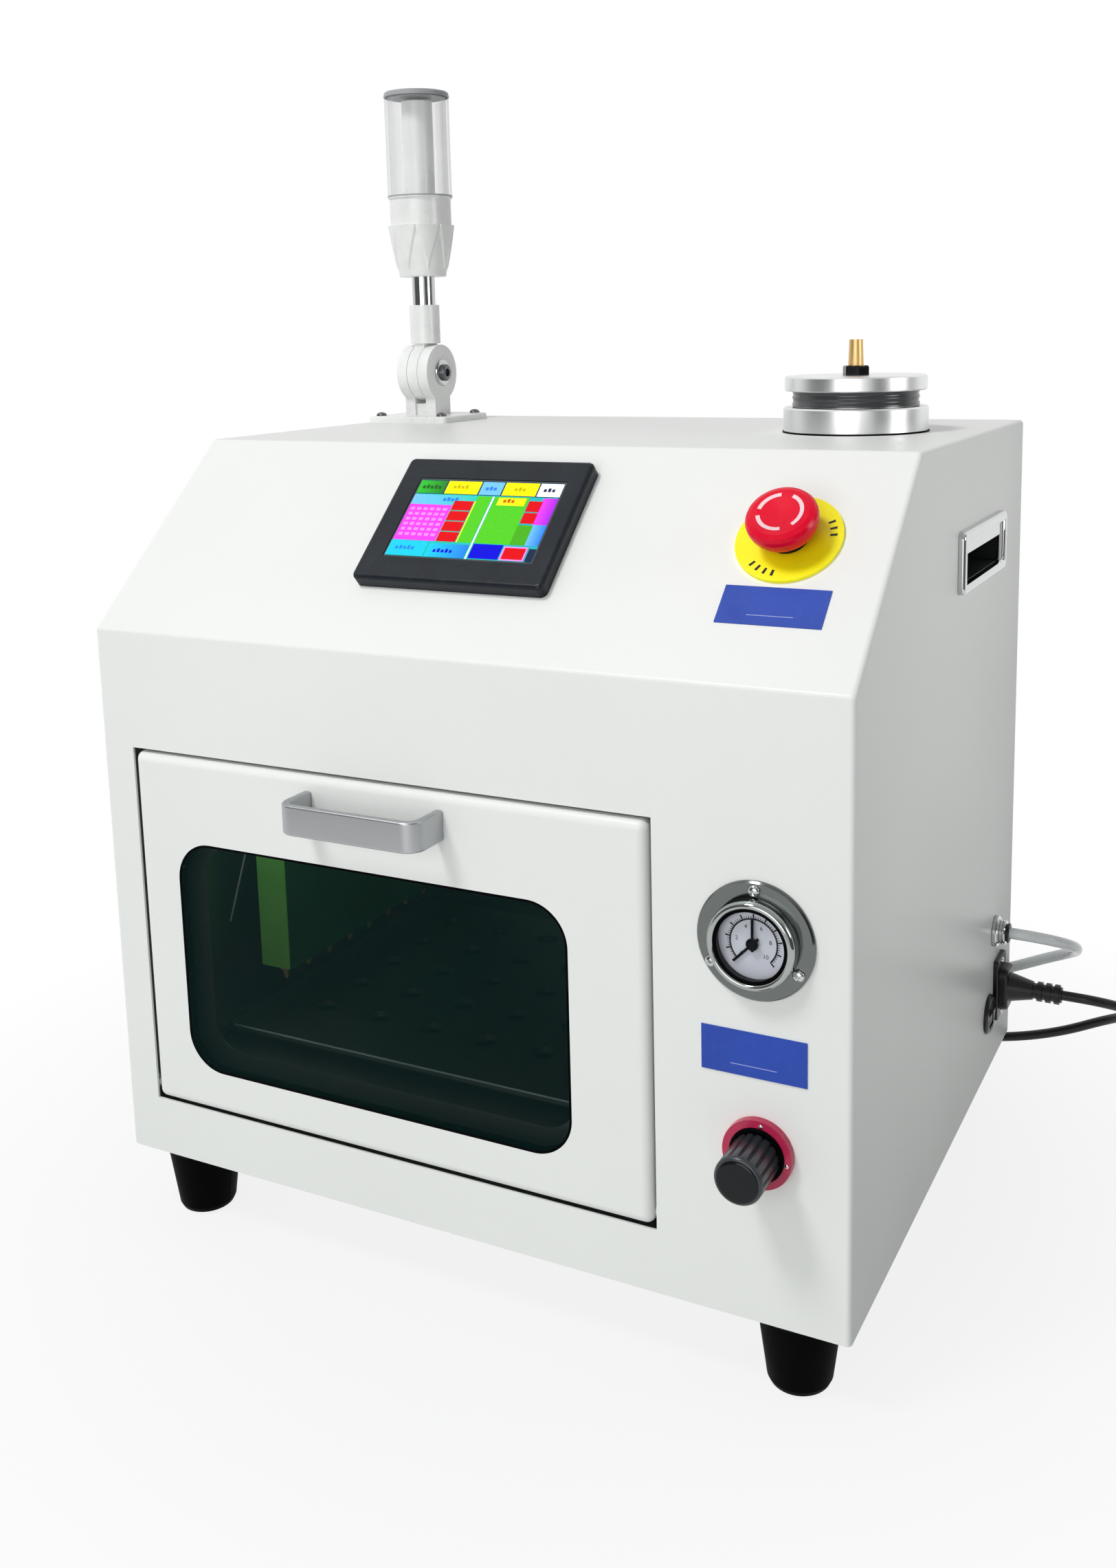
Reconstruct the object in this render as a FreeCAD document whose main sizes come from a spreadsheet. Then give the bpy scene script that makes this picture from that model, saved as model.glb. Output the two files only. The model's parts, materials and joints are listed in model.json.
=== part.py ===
"""Bench-top spray cleaner for pick-and-place nozzles, as a parametric document of separate named pieces.

Millimetres, +Z up, the front faces -Y. The origin is on the floor, at the middle of the machine's footprint.
Pieces on a panel are drawn in that panel's own frame: x to the right, y up the panel, z out of it.
"""
import FreeCAD, Part
import math
import os

import Sketcher
from FreeCAD import Placement, Rotation, Vector

doc = FreeCAD.newDocument("nozzle_cleaner")
sheet = doc.addObject("Spreadsheet::Sheet", "dims")
NODES = {}


class Dim:
    """A length that carries its expression on the sheet together with its value."""

    def __init__(self, text, value):
        self.text, self.value = text, float(value)

    def __add__(self, other):
        return Dim(f"({self.text} + {text_of(other)})", self.value + value_of(other))

    def __sub__(self, other):
        return Dim(f"({self.text} - {text_of(other)})", self.value - value_of(other))

    def __mul__(self, other):
        return Dim(f"({self.text} * {text_of(other)})", self.value * value_of(other))

    def __truediv__(self, other):
        return Dim(f"({self.text} / {text_of(other)})", self.value / value_of(other))

    def __rsub__(self, other):
        return Dim(f"({text_of(other)} - {self.text})", value_of(other) - self.value)

    def __neg__(self):
        return Dim(f"(-{self.text})", -self.value)

    __radd__, __rmul__ = __add__, __mul__


def text_of(amount):
    return amount.text if isinstance(amount, Dim) else f"({float(amount)!r})"


def value_of(amount):
    return amount.value if isinstance(amount, Dim) else float(amount)


def root_of(amount):
    return Dim(f"sqrt({amount.text})", math.sqrt(amount.value))


def cell(alias, value):
    """Keeps one driving dimension on the sheet."""
    cell.row += 1
    sheet.set(f"A{cell.row}", alias)
    sheet.set(f"B{cell.row}", str(value))
    sheet.setAlias(f"B{cell.row}", alias)
    return Dim(f"dims.{alias}", value)


cell.row = 0

# Cabinet
cab_w = cell("cab_w", 495)
cab_d = cell("cab_d", 400)
cab_h = cell("cab_h", 461)
front_h = cell("front_h", 351)
slope_run = cell("slope_run", 121)
wall = cell("wall", 1.5)
bend_r = cell("bend_r", 3)
foot_h = cell("foot_h", 47.5)
foot_r = cell("foot_r", 24.5)
foot_in = cell("foot_in", 37)
foot_front = cell("foot_front", 27)
# Door, its opening and the chamber behind it
gap_x0 = cell("gap_x0", 24.7)
gap_x1 = cell("gap_x1", 384)
gap_z0 = cell("gap_z0", 38)
gap_z1 = cell("gap_z1", 276)
door_gap = cell("door_gap", 2)
door_deep = cell("door_deep", 18)
door_proud = cell("door_proud", 2)
pane_w = cell("pane_w", 273)
pane_h = cell("pane_h", 149)
pane_r = cell("pane_r", 24)
pane_x = cell("pane_x", 195.5)
pane_z = cell("pane_z", 143.5)
gasket_w = cell("gasket_w", 1.5)
pivot_up = cell("pivot_up", 8)
pivot_in = cell("pivot_in", 6.6)
pin_r = cell("pin_r", 3)
grip_w = cell("grip_w", 96.5)
grip_h = cell("grip_h", 18)
grip_out = cell("grip_out", 29)
grip_bar = cell("grip_bar", 5)
grip_x = cell("grip_x", 207.7)
grip_z = cell("grip_z", 255.5)
mouth_in = cell("mouth_in", 24)
mouth_x0 = cell("mouth_x0", 45)
mouth_x1 = cell("mouth_x1", 364)
mouth_z0 = cell("mouth_z0", 67)
mouth_z1 = cell("mouth_z1", 256)
chamber_d = cell("chamber_d", 304)
seal_w = cell("seal_w", 10)
# Control slope
panel_w = cell("panel_w", 128.5)
panel_h = cell("panel_h", 96)
panel_out = cell("panel_out", 9)
panel_x = cell("panel_x", 241.5)
panel_v = cell("panel_v", 95)
screen_w = cell("screen_w", 101)
screen_h = cell("screen_h", 62)
stop_x = cell("stop_x", 436)
stop_v = cell("stop_v", 97)
stop_ring_r = cell("stop_ring_r", 30)
stop_head_r = cell("stop_head_r", 20)
stem_r = cell("stem_r", 6)
label_w = cell("label_w", 59)
label_h = cell("label_h", 25)
# Gauge and regulator
gauge_x = cell("gauge_x", 443)
gauge_z = cell("gauge_z", 217.5)
flange_r = cell("flange_r", 32.5)
bezel_r = cell("bezel_r", 23)
dial_r = cell("dial_r", 20.2)
flange_pcd_r = cell("flange_pcd_r", 27.75)
knob_x = cell("knob_x", 444.5)
knob_z = cell("knob_z", 100)
knob_r = cell("knob_r", 13.5)
knob_out = cell("knob_out", 33)
ring_r = cell("ring_r", 19.5)
# Sides
pull_w = cell("pull_w", 123)
pull_h = cell("pull_h", 39)
pull_y = cell("pull_y", 270.5)
pull_z = cell("pull_z", 385.5)
pull_lip = cell("pull_lip", 4.5)
air_y = cell("air_y", 343)
air_z = cell("air_z", 101)
air_out = cell("air_out", 11)
tube_r = cell("tube_r", 4)
inlet_y = cell("inlet_y", 356)
inlet_z = cell("inlet_z", 55)
switch_y = cell("switch_y", 326.5)
switch_z = cell("switch_z", 45)
cord_r = cell("cord_r", 3.5)
# Roof
tower_x = cell("tower_x", 39)
tower_y = cell("tower_y", 335)
pivot_h = cell("pivot_h", 38)
knuckle_r = cell("knuckle_r", 22)
pole_r = cell("pole_r", 9)
lamp_z = cell("lamp_z", 113)
lamp_r = cell("lamp_r", 25)
lens_z = cell("lens_z", 174)
lens_top = cell("lens_top", 250)
filler_x = cell("filler_x", 412)
filler_y = cell("filler_y", 270)
collar_r = cell("collar_r", 47)
collar_h = cell("collar_h", 16.5)
filler_bore = cell("filler_bore", 30)
# Inside
rail_r = cell("rail_r", 6)
screw_r = cell("screw_r", 5)
rail_y0 = cell("rail_y0", 130)
rail_y1 = cell("rail_y1", 230)
rail_z = cell("rail_z", 235)
carriage_x = cell("carriage_x", 79.5)
tray_z = cell("tray_z", 76)
tray_y = cell("tray_y", 38)
spray_z = cell("spray_z", 114)
# Fits
slack = cell("slack", 0.05)
head_h = cell("head_h", 2.4)

slope_rise = cab_h - front_h
slope_len = root_of(slope_run * slope_run + slope_rise * slope_rise)
slope_sin, slope_cos = slope_rise / slope_len, slope_run / slope_len
corner = (
    (pull_lip - cab_w - air_out) / 2,
    (knob_out - cab_d - head_h) / 2,
    foot_h,
)
door_w = gap_x1 - gap_x0 - 2 * door_gap
door_h = gap_z1 - gap_z0 - 2 * door_gap
door_x, door_z = (gap_x0 + gap_x1) / 2, (gap_z0 + gap_z1) / 2
door_back = door_proud - door_deep
pivot_z = gap_z0 + door_gap + pivot_up
doc.recompute()

UPRIGHT = Rotation()
FRONT = Rotation(Vector(1, 0, 0), 90)
SLOPE = Rotation(Vector(1, 0, 0), math.degrees(math.atan2(slope_rise.value, slope_run.value)))
RIGHT = Rotation(Vector(0, 1, 0), Vector(0, 0, 1), Vector(1, 0, 0), "XYZ")
LEFT = Rotation(Vector(0, -1, 0), Vector(0, 0, 1), Vector(-1, 0, 0), "XYZ")
REAR = Rotation(Vector(-1, 0, 0), Vector(0, 0, 1), Vector(0, 1, 0), "XYZ")
ALONG = {
    "x": Rotation(Vector(0, 1, 0), 90),
    "y": Rotation(Vector(1, 0, 0), -90),
    "z": Rotation(),
}


def place(obj, at, turn=UPRIGHT):
    """Puts an object at a bound position."""
    obj.Placement = Placement(Vector(*[value_of(a) for a in at]), turn)
    for axis, amount in zip("xyz", at):
        obj.setExpression(f".Placement.Base.{axis}", text_of(amount))
    return obj


def bound(kind, sizes, at, turn=UPRIGHT):
    """A Part primitive with its sizes and position bound to the sheet."""
    obj = doc.addObject(kind, "solid")
    for name, amount in sizes.items():
        obj.setExpression(name, text_of(amount))
    return place(obj, at, turn)


def box(low, high):
    """A box between two corners."""
    size = [b - a if isinstance(a, Dim) or isinstance(b, Dim) else float(b - a) for a, b in zip(low, high)]
    return bound("Part::Box", dict(zip(("Length", "Width", "Height"), size)), low)


def slab(size, at=(0, 0, 0), turn=UPRIGHT):
    """A box centred on x and y, standing on z."""
    wide, tall, deep = size
    x, y, z = at
    low = (x - wide / 2, y - tall / 2, z)
    return bound("Part::Box", {"Length": wide, "Width": tall, "Height": deep}, low, turn)


def rod(radius, length, at=(0, 0, 0), axis="z"):
    return bound("Part::Cylinder", {"Radius": radius, "Height": length}, at, ALONG[axis])


def cone(radius, end_radius, length, at=(0, 0, 0)):
    return bound("Part::Cone", {"Radius1": radius, "Radius2": end_radius, "Height": length}, at)


def fuse(*parts):
    obj = doc.addObject("Part::MultiFuse", "joined")
    obj.Shapes = list(parts)
    return obj


def group(*parts):
    obj = doc.addObject("Part::Compound", "group")
    obj.Links = list(parts)
    return obj


def cut(base, *tools):
    obj = doc.addObject("Part::Cut", "cut")
    obj.Base, obj.Tool = base, tools[0] if len(tools) == 1 else group(*tools)
    return obj


def outline(body, role, points):
    """A closed polygon sketch whose corners are bound to the sheet."""
    sketch = body.newObject("Sketcher::SketchObject", "outline")
    support = next(f for f in body.Origin.OriginFeatures if f.Role == role)
    sketch.AttachmentSupport, sketch.MapMode = (support, ""), "FlatFace"
    spots = [Vector(value_of(x), value_of(y), 0) for x, y in points]
    for i, spot in enumerate(spots):
        sketch.addGeometry(Part.LineSegment(spot, spots[(i + 1) % len(spots)]), False)
    for i in range(len(spots)):
        sketch.addConstraint(Sketcher.Constraint("Coincident", i, 2, (i + 1) % len(spots), 1))
    for i, (point, spot) in enumerate(zip(points, spots)):
        if spot.Length < 1e-9:
            sketch.addConstraint(Sketcher.Constraint("Coincident", i, 1, -1, 1))
            continue
        ways = (("DistanceX", point[0], spot.x, -2), ("DistanceY", point[1], spot.y, -1))
        for kind, amount, value, axis in ways:
            if abs(value) < 1e-9:
                sketch.addConstraint(Sketcher.Constraint("PointOnObject", i, 1, axis))
            else:
                made = sketch.addConstraint(Sketcher.Constraint(kind, -1, 1, i, 1, value))
                sketch.setExpression(f"Constraints[{made}]", text_of(amount))
    return sketch


def rounded_edges(body, base, radius, chosen):
    """Rounds the edges of a feature that a test picks."""
    doc.recompute()
    names = [f"Edge{i + 1}" for i, edge in enumerate(base.Shape.Edges) if chosen(edge)]
    fillet = body.newObject("PartDesign::Fillet", "rounding")
    fillet.Base = (base, names)
    fillet.setExpression("Radius", text_of(radius))
    body.Tip = fillet
    return fillet


def prism(points, length, role="XY_Plane"):
    """A body padded from a polygon."""
    body = doc.addObject("PartDesign::Body", "body")
    pad = body.newObject("PartDesign::Pad", "pad")
    pad.Profile = outline(body, role, points)
    pad.setExpression("Length", text_of(length))
    body.Tip = pad
    return body, pad


def runs_along(edge, direction):
    ends = [v.Point for v in edge.Vertexes]
    return len(ends) == 2 and abs((ends[1] - ends[0]).normalize().dot(direction)) > 0.999


def rounded(size, radius, edge_radius=0, at=(0, 0, 0)):
    """A plate with round corners, and a softened front edge where edge_radius says so."""
    half_w, half_h = size[0] / 2, size[1] / 2
    body, pad = prism([(-half_w, -half_h), (half_w, -half_h), (half_w, half_h), (-half_w, half_h)], size[2])
    last = rounded_edges(body, pad, radius, lambda e: runs_along(e, Vector(0, 0, 1)))
    if edge_radius:
        top = value_of(size[2])
        rounded_edges(body, last, edge_radius, lambda e: all(abs(v.Z - top) < 1e-6 for v in e.Vertexes))
    return place(body, at)


def turned(points, at=(0, 0, 0), axis="z"):
    """A body turned about its own axis from a half profile of (radius, height)."""
    body = doc.addObject("PartDesign::Body", "body")
    sketch = outline(body, "XZ_Plane", points)
    turn = body.newObject("PartDesign::Revolution", "turn")
    turn.Profile, turn.ReferenceAxis, turn.Angle = sketch, (sketch, ["V_Axis"]), 360
    body.Tip = turn
    return place(body, at, ALONG[axis])


def ring(inner, outer, low, high):
    """A plain turned ring between two heights."""
    return turned([(inner, low), (outer, low), (outer, high), (inner, high)])


def node(label, obj, at=(0, 0, 0), turn=UPRIGHT):
    """Names a finished piece and puts it in its place, counted from the cabinet's front lower left corner."""
    if not obj.Placement.isIdentity():
        obj = group(obj)
    obj.Label = label
    place(obj, [c + a for c, a in zip(corner, at)], turn)
    NODES[label] = obj


def on_slope(x, v, out=0):
    return (x, v * slope_cos - out * slope_sin, front_h + v * slope_sin + out * slope_cos)


def on_roof(x, y):
    return (x, y, cab_h)


def polar(radius, angle):
    return radius * math.cos(math.radians(angle)), radius * math.sin(math.radians(angle))


def screw(head_r, head, shank_r, shank, at, turn=UPRIGHT):
    """A pan-head screw whose head sits on a panel and whose shank goes in."""
    made = fuse(rod(head_r, head), rod(shank_r, shank, (0, 0, -shank)))
    return place(made, at, turn)


FEET = [(x, y) for x in (foot_in, cab_w - foot_in) for y in (foot_front, cab_d - foot_in)]
GAUGE_SCREWS = [polar(flange_pcd_r, a) for a in (90, 210, 330)]
REAR_EDGE = 12
REAR_COLUMNS = (REAR_EDGE, cab_w / 2, cab_w - REAR_EDGE)
REAR_ROWS = (REAR_EDGE, cab_h / 2, cab_h - REAR_EDGE)
REAR_SCREWS = [
    (x, z) for i, x in enumerate(REAR_COLUMNS) for j, z in enumerate(REAR_ROWS) if (i, j) != (1, 1)
]
TOWER_W, TOWER_D, TOWER_T = 72, 66, 5
TOWER_SCREWS = [(x, y) for x in (-28, 28) for y in (-25, 25)]


def cabinet():
    """The welded shell, its base plate, rear panel, feet and fasteners."""
    profile = [(0, 0), (cab_d, 0), (cab_d, cab_h), (slope_run, cab_h), (0, front_h)]
    body, pad = prism(profile, cab_w, "YZ_Plane")
    bends = [(0.0, front_h.value), (slope_run.value, cab_h.value)]

    def outer_bend(edge):
        ends = [v.Point for v in edge.Vertexes]
        if abs(ends[0].x - ends[1].x) > 1:
            return any(abs(ends[0].y - y) < 1e-6 and abs(ends[0].z - z) < 1e-6 for y, z in bends)
        low = min(p.z for p in ends) < 1e-6
        return not (low and abs(ends[0].y - ends[1].y) > 1) and min(p.y for p in ends) < cab_d.value - 1

    rounded_edges(body, pad, bend_r, outer_bend)
    inside = [
        (wall, 0),
        (cab_d, 0),
        (cab_d, cab_h - wall),
        (slope_run + wall * (1 - slope_cos) / slope_sin, cab_h - wall),
        (wall, front_h - wall * (1 - slope_sin) / slope_cos),
    ]
    void = place(prism(inside, cab_w - 2 * wall, "YZ_Plane")[0], (wall, 0, 0))
    deep = 4 * wall
    openings = [
        void,
        box((gap_x0, -deep, gap_z0), (gap_x1, deep, gap_z1)),
        rod(21.5, 2 * deep, (gauge_x, -deep, gauge_z), "y"),
        rod(12.3, 2 * deep, (knob_x, -deep, knob_z), "y"),
        rod(8.7, 2 * deep, (cab_w - deep, air_y, air_z), "x"),
        box((cab_w - deep, inlet_y - 11.5, inlet_z - 15.5), (cab_w + deep, inlet_y + 11.5, inlet_z + 15.5)),
        rod(11.7, 2 * deep, (cab_w - deep, switch_y, switch_z), "x"),
        rod(filler_bore + 0.5, 2 * deep, (filler_x, filler_y, cab_h - deep)),
        rod(6, 2 * deep, (tower_x, tower_y + 15, cab_h - deep)),
    ]
    openings.append(place(slab((119, 89, 2 * deep)), on_slope(panel_x - 59.5, panel_v - 44.5, -deep), SLOPE))
    openings.append(place(rod(11.2, 2 * deep), on_slope(stop_x, stop_v, -deep), SLOPE))
    for x in (-deep, cab_w - deep):
        openings.append(box((x, pull_y - 57, pull_z - 15), (x + 2 * deep, pull_y + 57, pull_z + 15)))
    for x, z in GAUGE_SCREWS:
        openings.append(rod(1.65, 2 * deep, (gauge_x + x, -deep, gauge_z + z), "y"))
    for x, y in TOWER_SCREWS:
        openings.append(rod(2.05, 2 * deep, (tower_x + x, tower_y + y, cab_h - deep)))
    node("cabinet_shell", cut(body, *openings))

    foot_holes = [rod(3.1, 4 * wall, (x, y, -wall)) for x, y in FEET]
    plate = box((wall, wall, 0), (cab_w - wall, cab_d - wall, wall))
    node("base_plate", cut(plate, *foot_holes))

    rear = box((wall, cab_d - wall, 0), (cab_w - wall, cab_d, cab_h - wall))
    louvres = [
        box((x, cab_d - 3 * wall, 250 + 16 * row), (x + 110, cab_d + wall, 255 + 16 * row))
        for x in (70, 315)
        for row in range(8)
    ]
    holes = [rod(2, 6 * wall, (x, cab_d - 3 * wall, z), "y") for x, z in REAR_SCREWS]
    node("rear_panel", cut(rear, *louvres, *holes))

    half_profile = [
        (3.1, 12), (7, 12), (7, 0), (foot_r - 10.5, 0), (foot_r - 7.5, 1.5), (foot_r - 6, 4.5),
        (foot_r - 0.8, foot_h - 4), (foot_r, foot_h - 2.5), (foot_r, foot_h), (3.1, foot_h),
    ]
    node("rubber_feet", group(*[turned(half_profile, (x, y, -foot_h)) for x, y in FEET]))

    fixings = [screw(3.6, head_h, 1.95, 8, (x, cab_d, z), REAR) for x, z in REAR_SCREWS]
    fixings += [screw(3.2, 2, 1.6, 9, (gauge_x + x, -2.5, gauge_z + z), FRONT) for x, z in GAUGE_SCREWS]
    fixings += [screw(4, 2.6, 2, 12, (tower_x + x, tower_y + y, cab_h + TOWER_T)) for x, y in TOWER_SCREWS]
    upside = Rotation(Vector(1, 0, 0), 180)
    fixings += [screw(6, 4, 3, 41, (x, y, 12 - foot_h), upside) for x, y in FEET]
    node("cabinet_screws", group(*fixings))


def chamber():
    """The stainless wash chamber with its door sleeve, seal and hinge pins."""
    back = mouth_in + chamber_d
    sleeve = [(gap_x0 - 1.7, wall, gap_z0 - 3), (gap_x1 + 1.7, mouth_in, gap_z1 + 3)]
    skin = wall
    outer = fuse(
        box(
            (sleeve[0][0] - skin, wall, sleeve[0][2] - skin),
            (sleeve[1][0] + skin, mouth_in + skin, sleeve[1][2] + skin),
        ),
        box((mouth_x0 - skin, mouth_in, mouth_z0 - skin), (mouth_x1 + skin, back + skin, mouth_z1 + skin)),
    )
    inner = fuse(box(*sleeve), box((mouth_x0, mouth_in - 1, mouth_z0), (mouth_x1, back, mouth_z1)))
    shaft_hole = rod(screw_r + 1, 6 * skin, (mouth_x1 - 2 * skin, (rail_y0 + rail_y1) / 2, rail_z), "x")
    drain = rod(14, 6 * skin, ((mouth_x0 + mouth_x1) / 2, back - 40, mouth_z0 - 3 * skin))
    ledges = [box((x, tray_y, tray_z - 2), (x + 20, 300, tray_z)) for x in (mouth_x0, mouth_x1 - 20)]
    node("chamber_liner", fuse(cut(outer, inner, shaft_hole, drain), *ledges))

    seal_y = 0.3 - door_back
    seal = cut(
        box((mouth_x0 - seal_w, seal_y, mouth_z0 - seal_w), (mouth_x1 + seal_w, mouth_in, mouth_z1 + seal_w)),
        box((mouth_x0, seal_y - 5, mouth_z0), (mouth_x1, mouth_in + 5, mouth_z1)),
    )
    node("door_seal", seal)

    reach = door_gap + 1.7 + wall + 12
    left, right = gap_x0 - 1.7, gap_x1 + 1.7
    pins = group(
        fuse(*[rod(r, long, (left, pivot_in, pivot_z), "x") for r, long in ((pin_r, reach), (pin_r + 2, 3))]),
        fuse(
            rod(pin_r, reach, (right - reach, pivot_in, pivot_z), "x"),
            rod(pin_r + 2, 3, (right - 3, pivot_in, pivot_z), "x"),
        ),
    )
    node("hinge_pins", pins)


def door():
    """The drop-down door: pan, inner skin, window in its gasket, handle and hinge blocks."""
    at = (door_x, 0, door_z)
    win = (pane_x - door_x, pane_z - door_z)
    side = door_w / 2 - wall
    pivot = pivot_z - door_z
    opening = (pane_w + 2 * gasket_w, pane_h + 2 * gasket_w)
    pan = rounded((door_w, door_h, door_deep), 5, 6, (0, 0, door_back))
    hollow = slab((door_w - 2 * wall, door_h - 2 * wall, door_deep - 2 * wall), (0, 0, door_back - wall))
    cutout = rounded((*opening, 2 * door_deep), pane_r + gasket_w, 0, (*win, -door_deep))
    pin_way = rod(pin_r + 0.6, door_w + 20, (-door_w / 2 - 10, pivot, -pivot_in), "x")
    node("door_pan", cut(pan, hollow, cutout, pin_way), at, FRONT)

    skin = slab((2 * side - 0.6, door_h - 2 * wall - 0.6, wall), (0, 0, door_back))
    sight = rounded((pane_w - 12, pane_h - 12, 4 * wall), pane_r - 6, 0, (*win, door_back - wall))
    node("door_inner_skin", cut(skin, sight), at, FRONT)

    gasket = cut(
        rounded((*opening, 6), pane_r + gasket_w, 0, (*win, door_proud - 6)),
        rounded((pane_w, pane_h, 12), pane_r, 0, (*win, door_proud - 9)),
    )
    node("window_gasket", gasket, at, FRONT)
    node("door_window", rounded((pane_w, pane_h, 5), pane_r, 0, (*win, door_proud - 5.2)), at, FRONT)

    blocks = [
        cut(
            slab((14, 10.8, 11.6), (x, pivot, door_back + wall + 0.2)),
            rod(pin_r + slack, 40, (x - 20, pivot, -pivot_in), "x"),
        )
        for x in (7 - side, side - 7)
    ]
    node("door_hinge_blocks", group(*blocks), at, FRONT)

    half = grip_w / 2
    bow, pad = prism([(-half, 0), (half, 0), (half, grip_out), (-half, grip_out)], grip_h)

    def outer_corner(reach):
        return lambda e: runs_along(e, Vector(0, 0, 1)) and abs(e.Vertexes[0].Y - reach) < 1e-6

    rounded_edges(bow, pad, 11, outer_corner(grip_out.value))
    hole_reach = grip_out - grip_bar
    hole_half = half - grip_bar
    hole_points = [(-hole_half, -5), (hole_half, -5), (hole_half, hole_reach), (-hole_half, hole_reach)]
    hole, pad = prism(hole_points, grip_h + 20)
    rounded_edges(hole, pad, 6, outer_corner(hole_reach.value))
    place(hole, (0, 0, -10))
    half_turn = Rotation(Vector(0, 0, 1), 180)
    node("door_handle", cut(bow, hole), (grip_x, -door_proud, grip_z - grip_h / 2), half_turn)


def control_slope():
    """Touch panel, emergency stop and the two label plates."""
    at = on_slope(panel_x, panel_v)
    screen_at = (1.5, 0)
    front = rounded((panel_w, panel_h, panel_out), 4, 2.5)
    recess = slab((screen_w + 0.5, screen_h + 0.5, 4), (*screen_at, panel_out - 2))
    node("touch_panel_housing", fuse(cut(front, recess), slab((118, 88, 32), (0, 0, -32))), at, SLOPE)
    node("touch_screen", slab((screen_w, screen_h, 1.6), (*screen_at, panel_out - 2)), at, SLOPE)

    at = on_slope(stop_x, stop_v)
    bore = stem_r + slack
    node("estop_legend_ring", ring(11.3, stop_ring_r, 0, 2), at, SLOPE)
    barrel = turned([
        (bore, -18), (bore, 3), (11, 3), (11, -wall), (15, -wall), (15, -7), (11, -7), (11, -22), (0, -22),
        (0, -18),
    ])
    node("estop_body", fuse(barrel, slab((34, 40, 32), (0, 0, -54))), at, SLOPE)
    node("estop_stem", rod(stem_r, 20, (0, 0, -12)), at, SLOPE)
    head = turned([
        (0, 8), (14.2, 8), (15.6, 8.6), (17.8, 11), (stop_head_r - 0.7, 14), (stop_head_r, 17.5),
        (stop_head_r - 0.2, 20), (stop_head_r - 1.4, 22), (stop_head_r - 4, 23.2),
        (stop_head_r - 7, 23.5), (0, 22.5),
    ])
    node("estop_head", head, at, SLOPE)

    upper = place(slab((label_w, label_h, 0.6)), on_slope(438.5 - label_w / 2, 51.5 - label_h / 2), SLOPE)
    lower = place(slab((label_w, label_h, 0.6)), (441.5 - label_w / 2, 0, 153.7 - label_h / 2), FRONT)
    node("label_plates", group(upper, lower))


def gauge():
    """The flanged pressure gauge with its pointer and set hand."""
    at = (gauge_x, 0, gauge_z)
    case = turned([
        (0, -26), (21, -26), (21, 0), (flange_r, 0), (flange_r, 1.5), (flange_r - 1, 2.5),
        (bezel_r + 1.3, 2.5), (bezel_r + 1, 5), (bezel_r + 1, 7), (bezel_r - 1, 10),
        (dial_r + 0.1, 10), (dial_r + 0.1, 3), (0, 3),
    ])
    ways = [rod(1.65, 10, (x, y, -3)) for x, y in GAUGE_SCREWS]
    node("gauge_case", fuse(cut(case, *ways), rod(5, 18, (0, 0, -44))), at, FRONT)
    node("gauge_dial", fuse(rod(dial_r, 0.8, (0, 0, 3)), rod(0.8, 3, (0, 0, 3.8))), at, FRONT)
    node("gauge_lens", rod(dial_r, 1.8, (0, 0, 7.6)), at, FRONT)
    for label, level, reach, angle in (("gauge_pointer", 4.6, 15.5, 225), ("gauge_set_hand", 5.6, 13.5, 90)):
        blade = slab((reach + 4, 1.4, 0.6), (reach / 2 - 2, 0, level))
        hand = cut(fuse(blade, rod(2.6, 0.6, (0, 0, level))), rod(0.85, 4, (0, 0, level - 1)))
        node(label, hand, at, FRONT.multiply(Rotation(Vector(0, 0, 1), angle)))


def regulator():
    """The air regulator behind the panel, its red ring and fluted knob."""
    at = (knob_x, 0, knob_z)
    spindle = 6
    body = fuse(slab((46, 46, 56), (0, 0, -68)), rod(12, 17, (0, 0, -12)), rod(spindle, 21, (0, 0, 5)))
    node("regulator_body", body, at, FRONT)
    node("regulator_panel_ring", ring(12.2, ring_r, 0, 4.5), at, FRONT)
    bore, foot = spindle + slack, 6.2
    knob = turned([
        (bore, foot), (knob_r, foot), (knob_r, knob_out - 2), (knob_r - 1.5, knob_out), (0, knob_out),
        (0, 27), (bore, 27),
    ])
    flutes = [rod(0.8, 30, (*polar(knob_r + 0.2, 15 * i), foot + 3)) for i in range(24)]
    node("regulator_knob", cut(knob, *flutes), at, FRONT)


def pulls():
    """The flush pull handles: a bright frame with a lip over a black cup, on each side."""
    frames, cups = [], []
    for x, turn in ((cab_w, RIGHT), (0, LEFT)):
        face = rounded((pull_w, pull_h, pull_lip), 5, 2)
        dish = slab((pull_w - 12, pull_h - 12, pull_lip), (0, 0, 2.5))
        grip = slab((pull_w - 28, pull_h - 21, 10), (0, -4.5, -5))
        frames.append(place(cut(face, dish, grip), (x, pull_y, pull_z), turn))
        shell = slab((113.4, 29.4, 26), (0, 0, -26))
        cups.append(place(cut(shell, slab((110.4, 26.4, 26), (0, 0, -24.5))), (x, pull_y, pull_z), turn))
    node("pull_handle_frames", group(*frames))
    node("pull_handle_cups", group(*cups))


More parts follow.
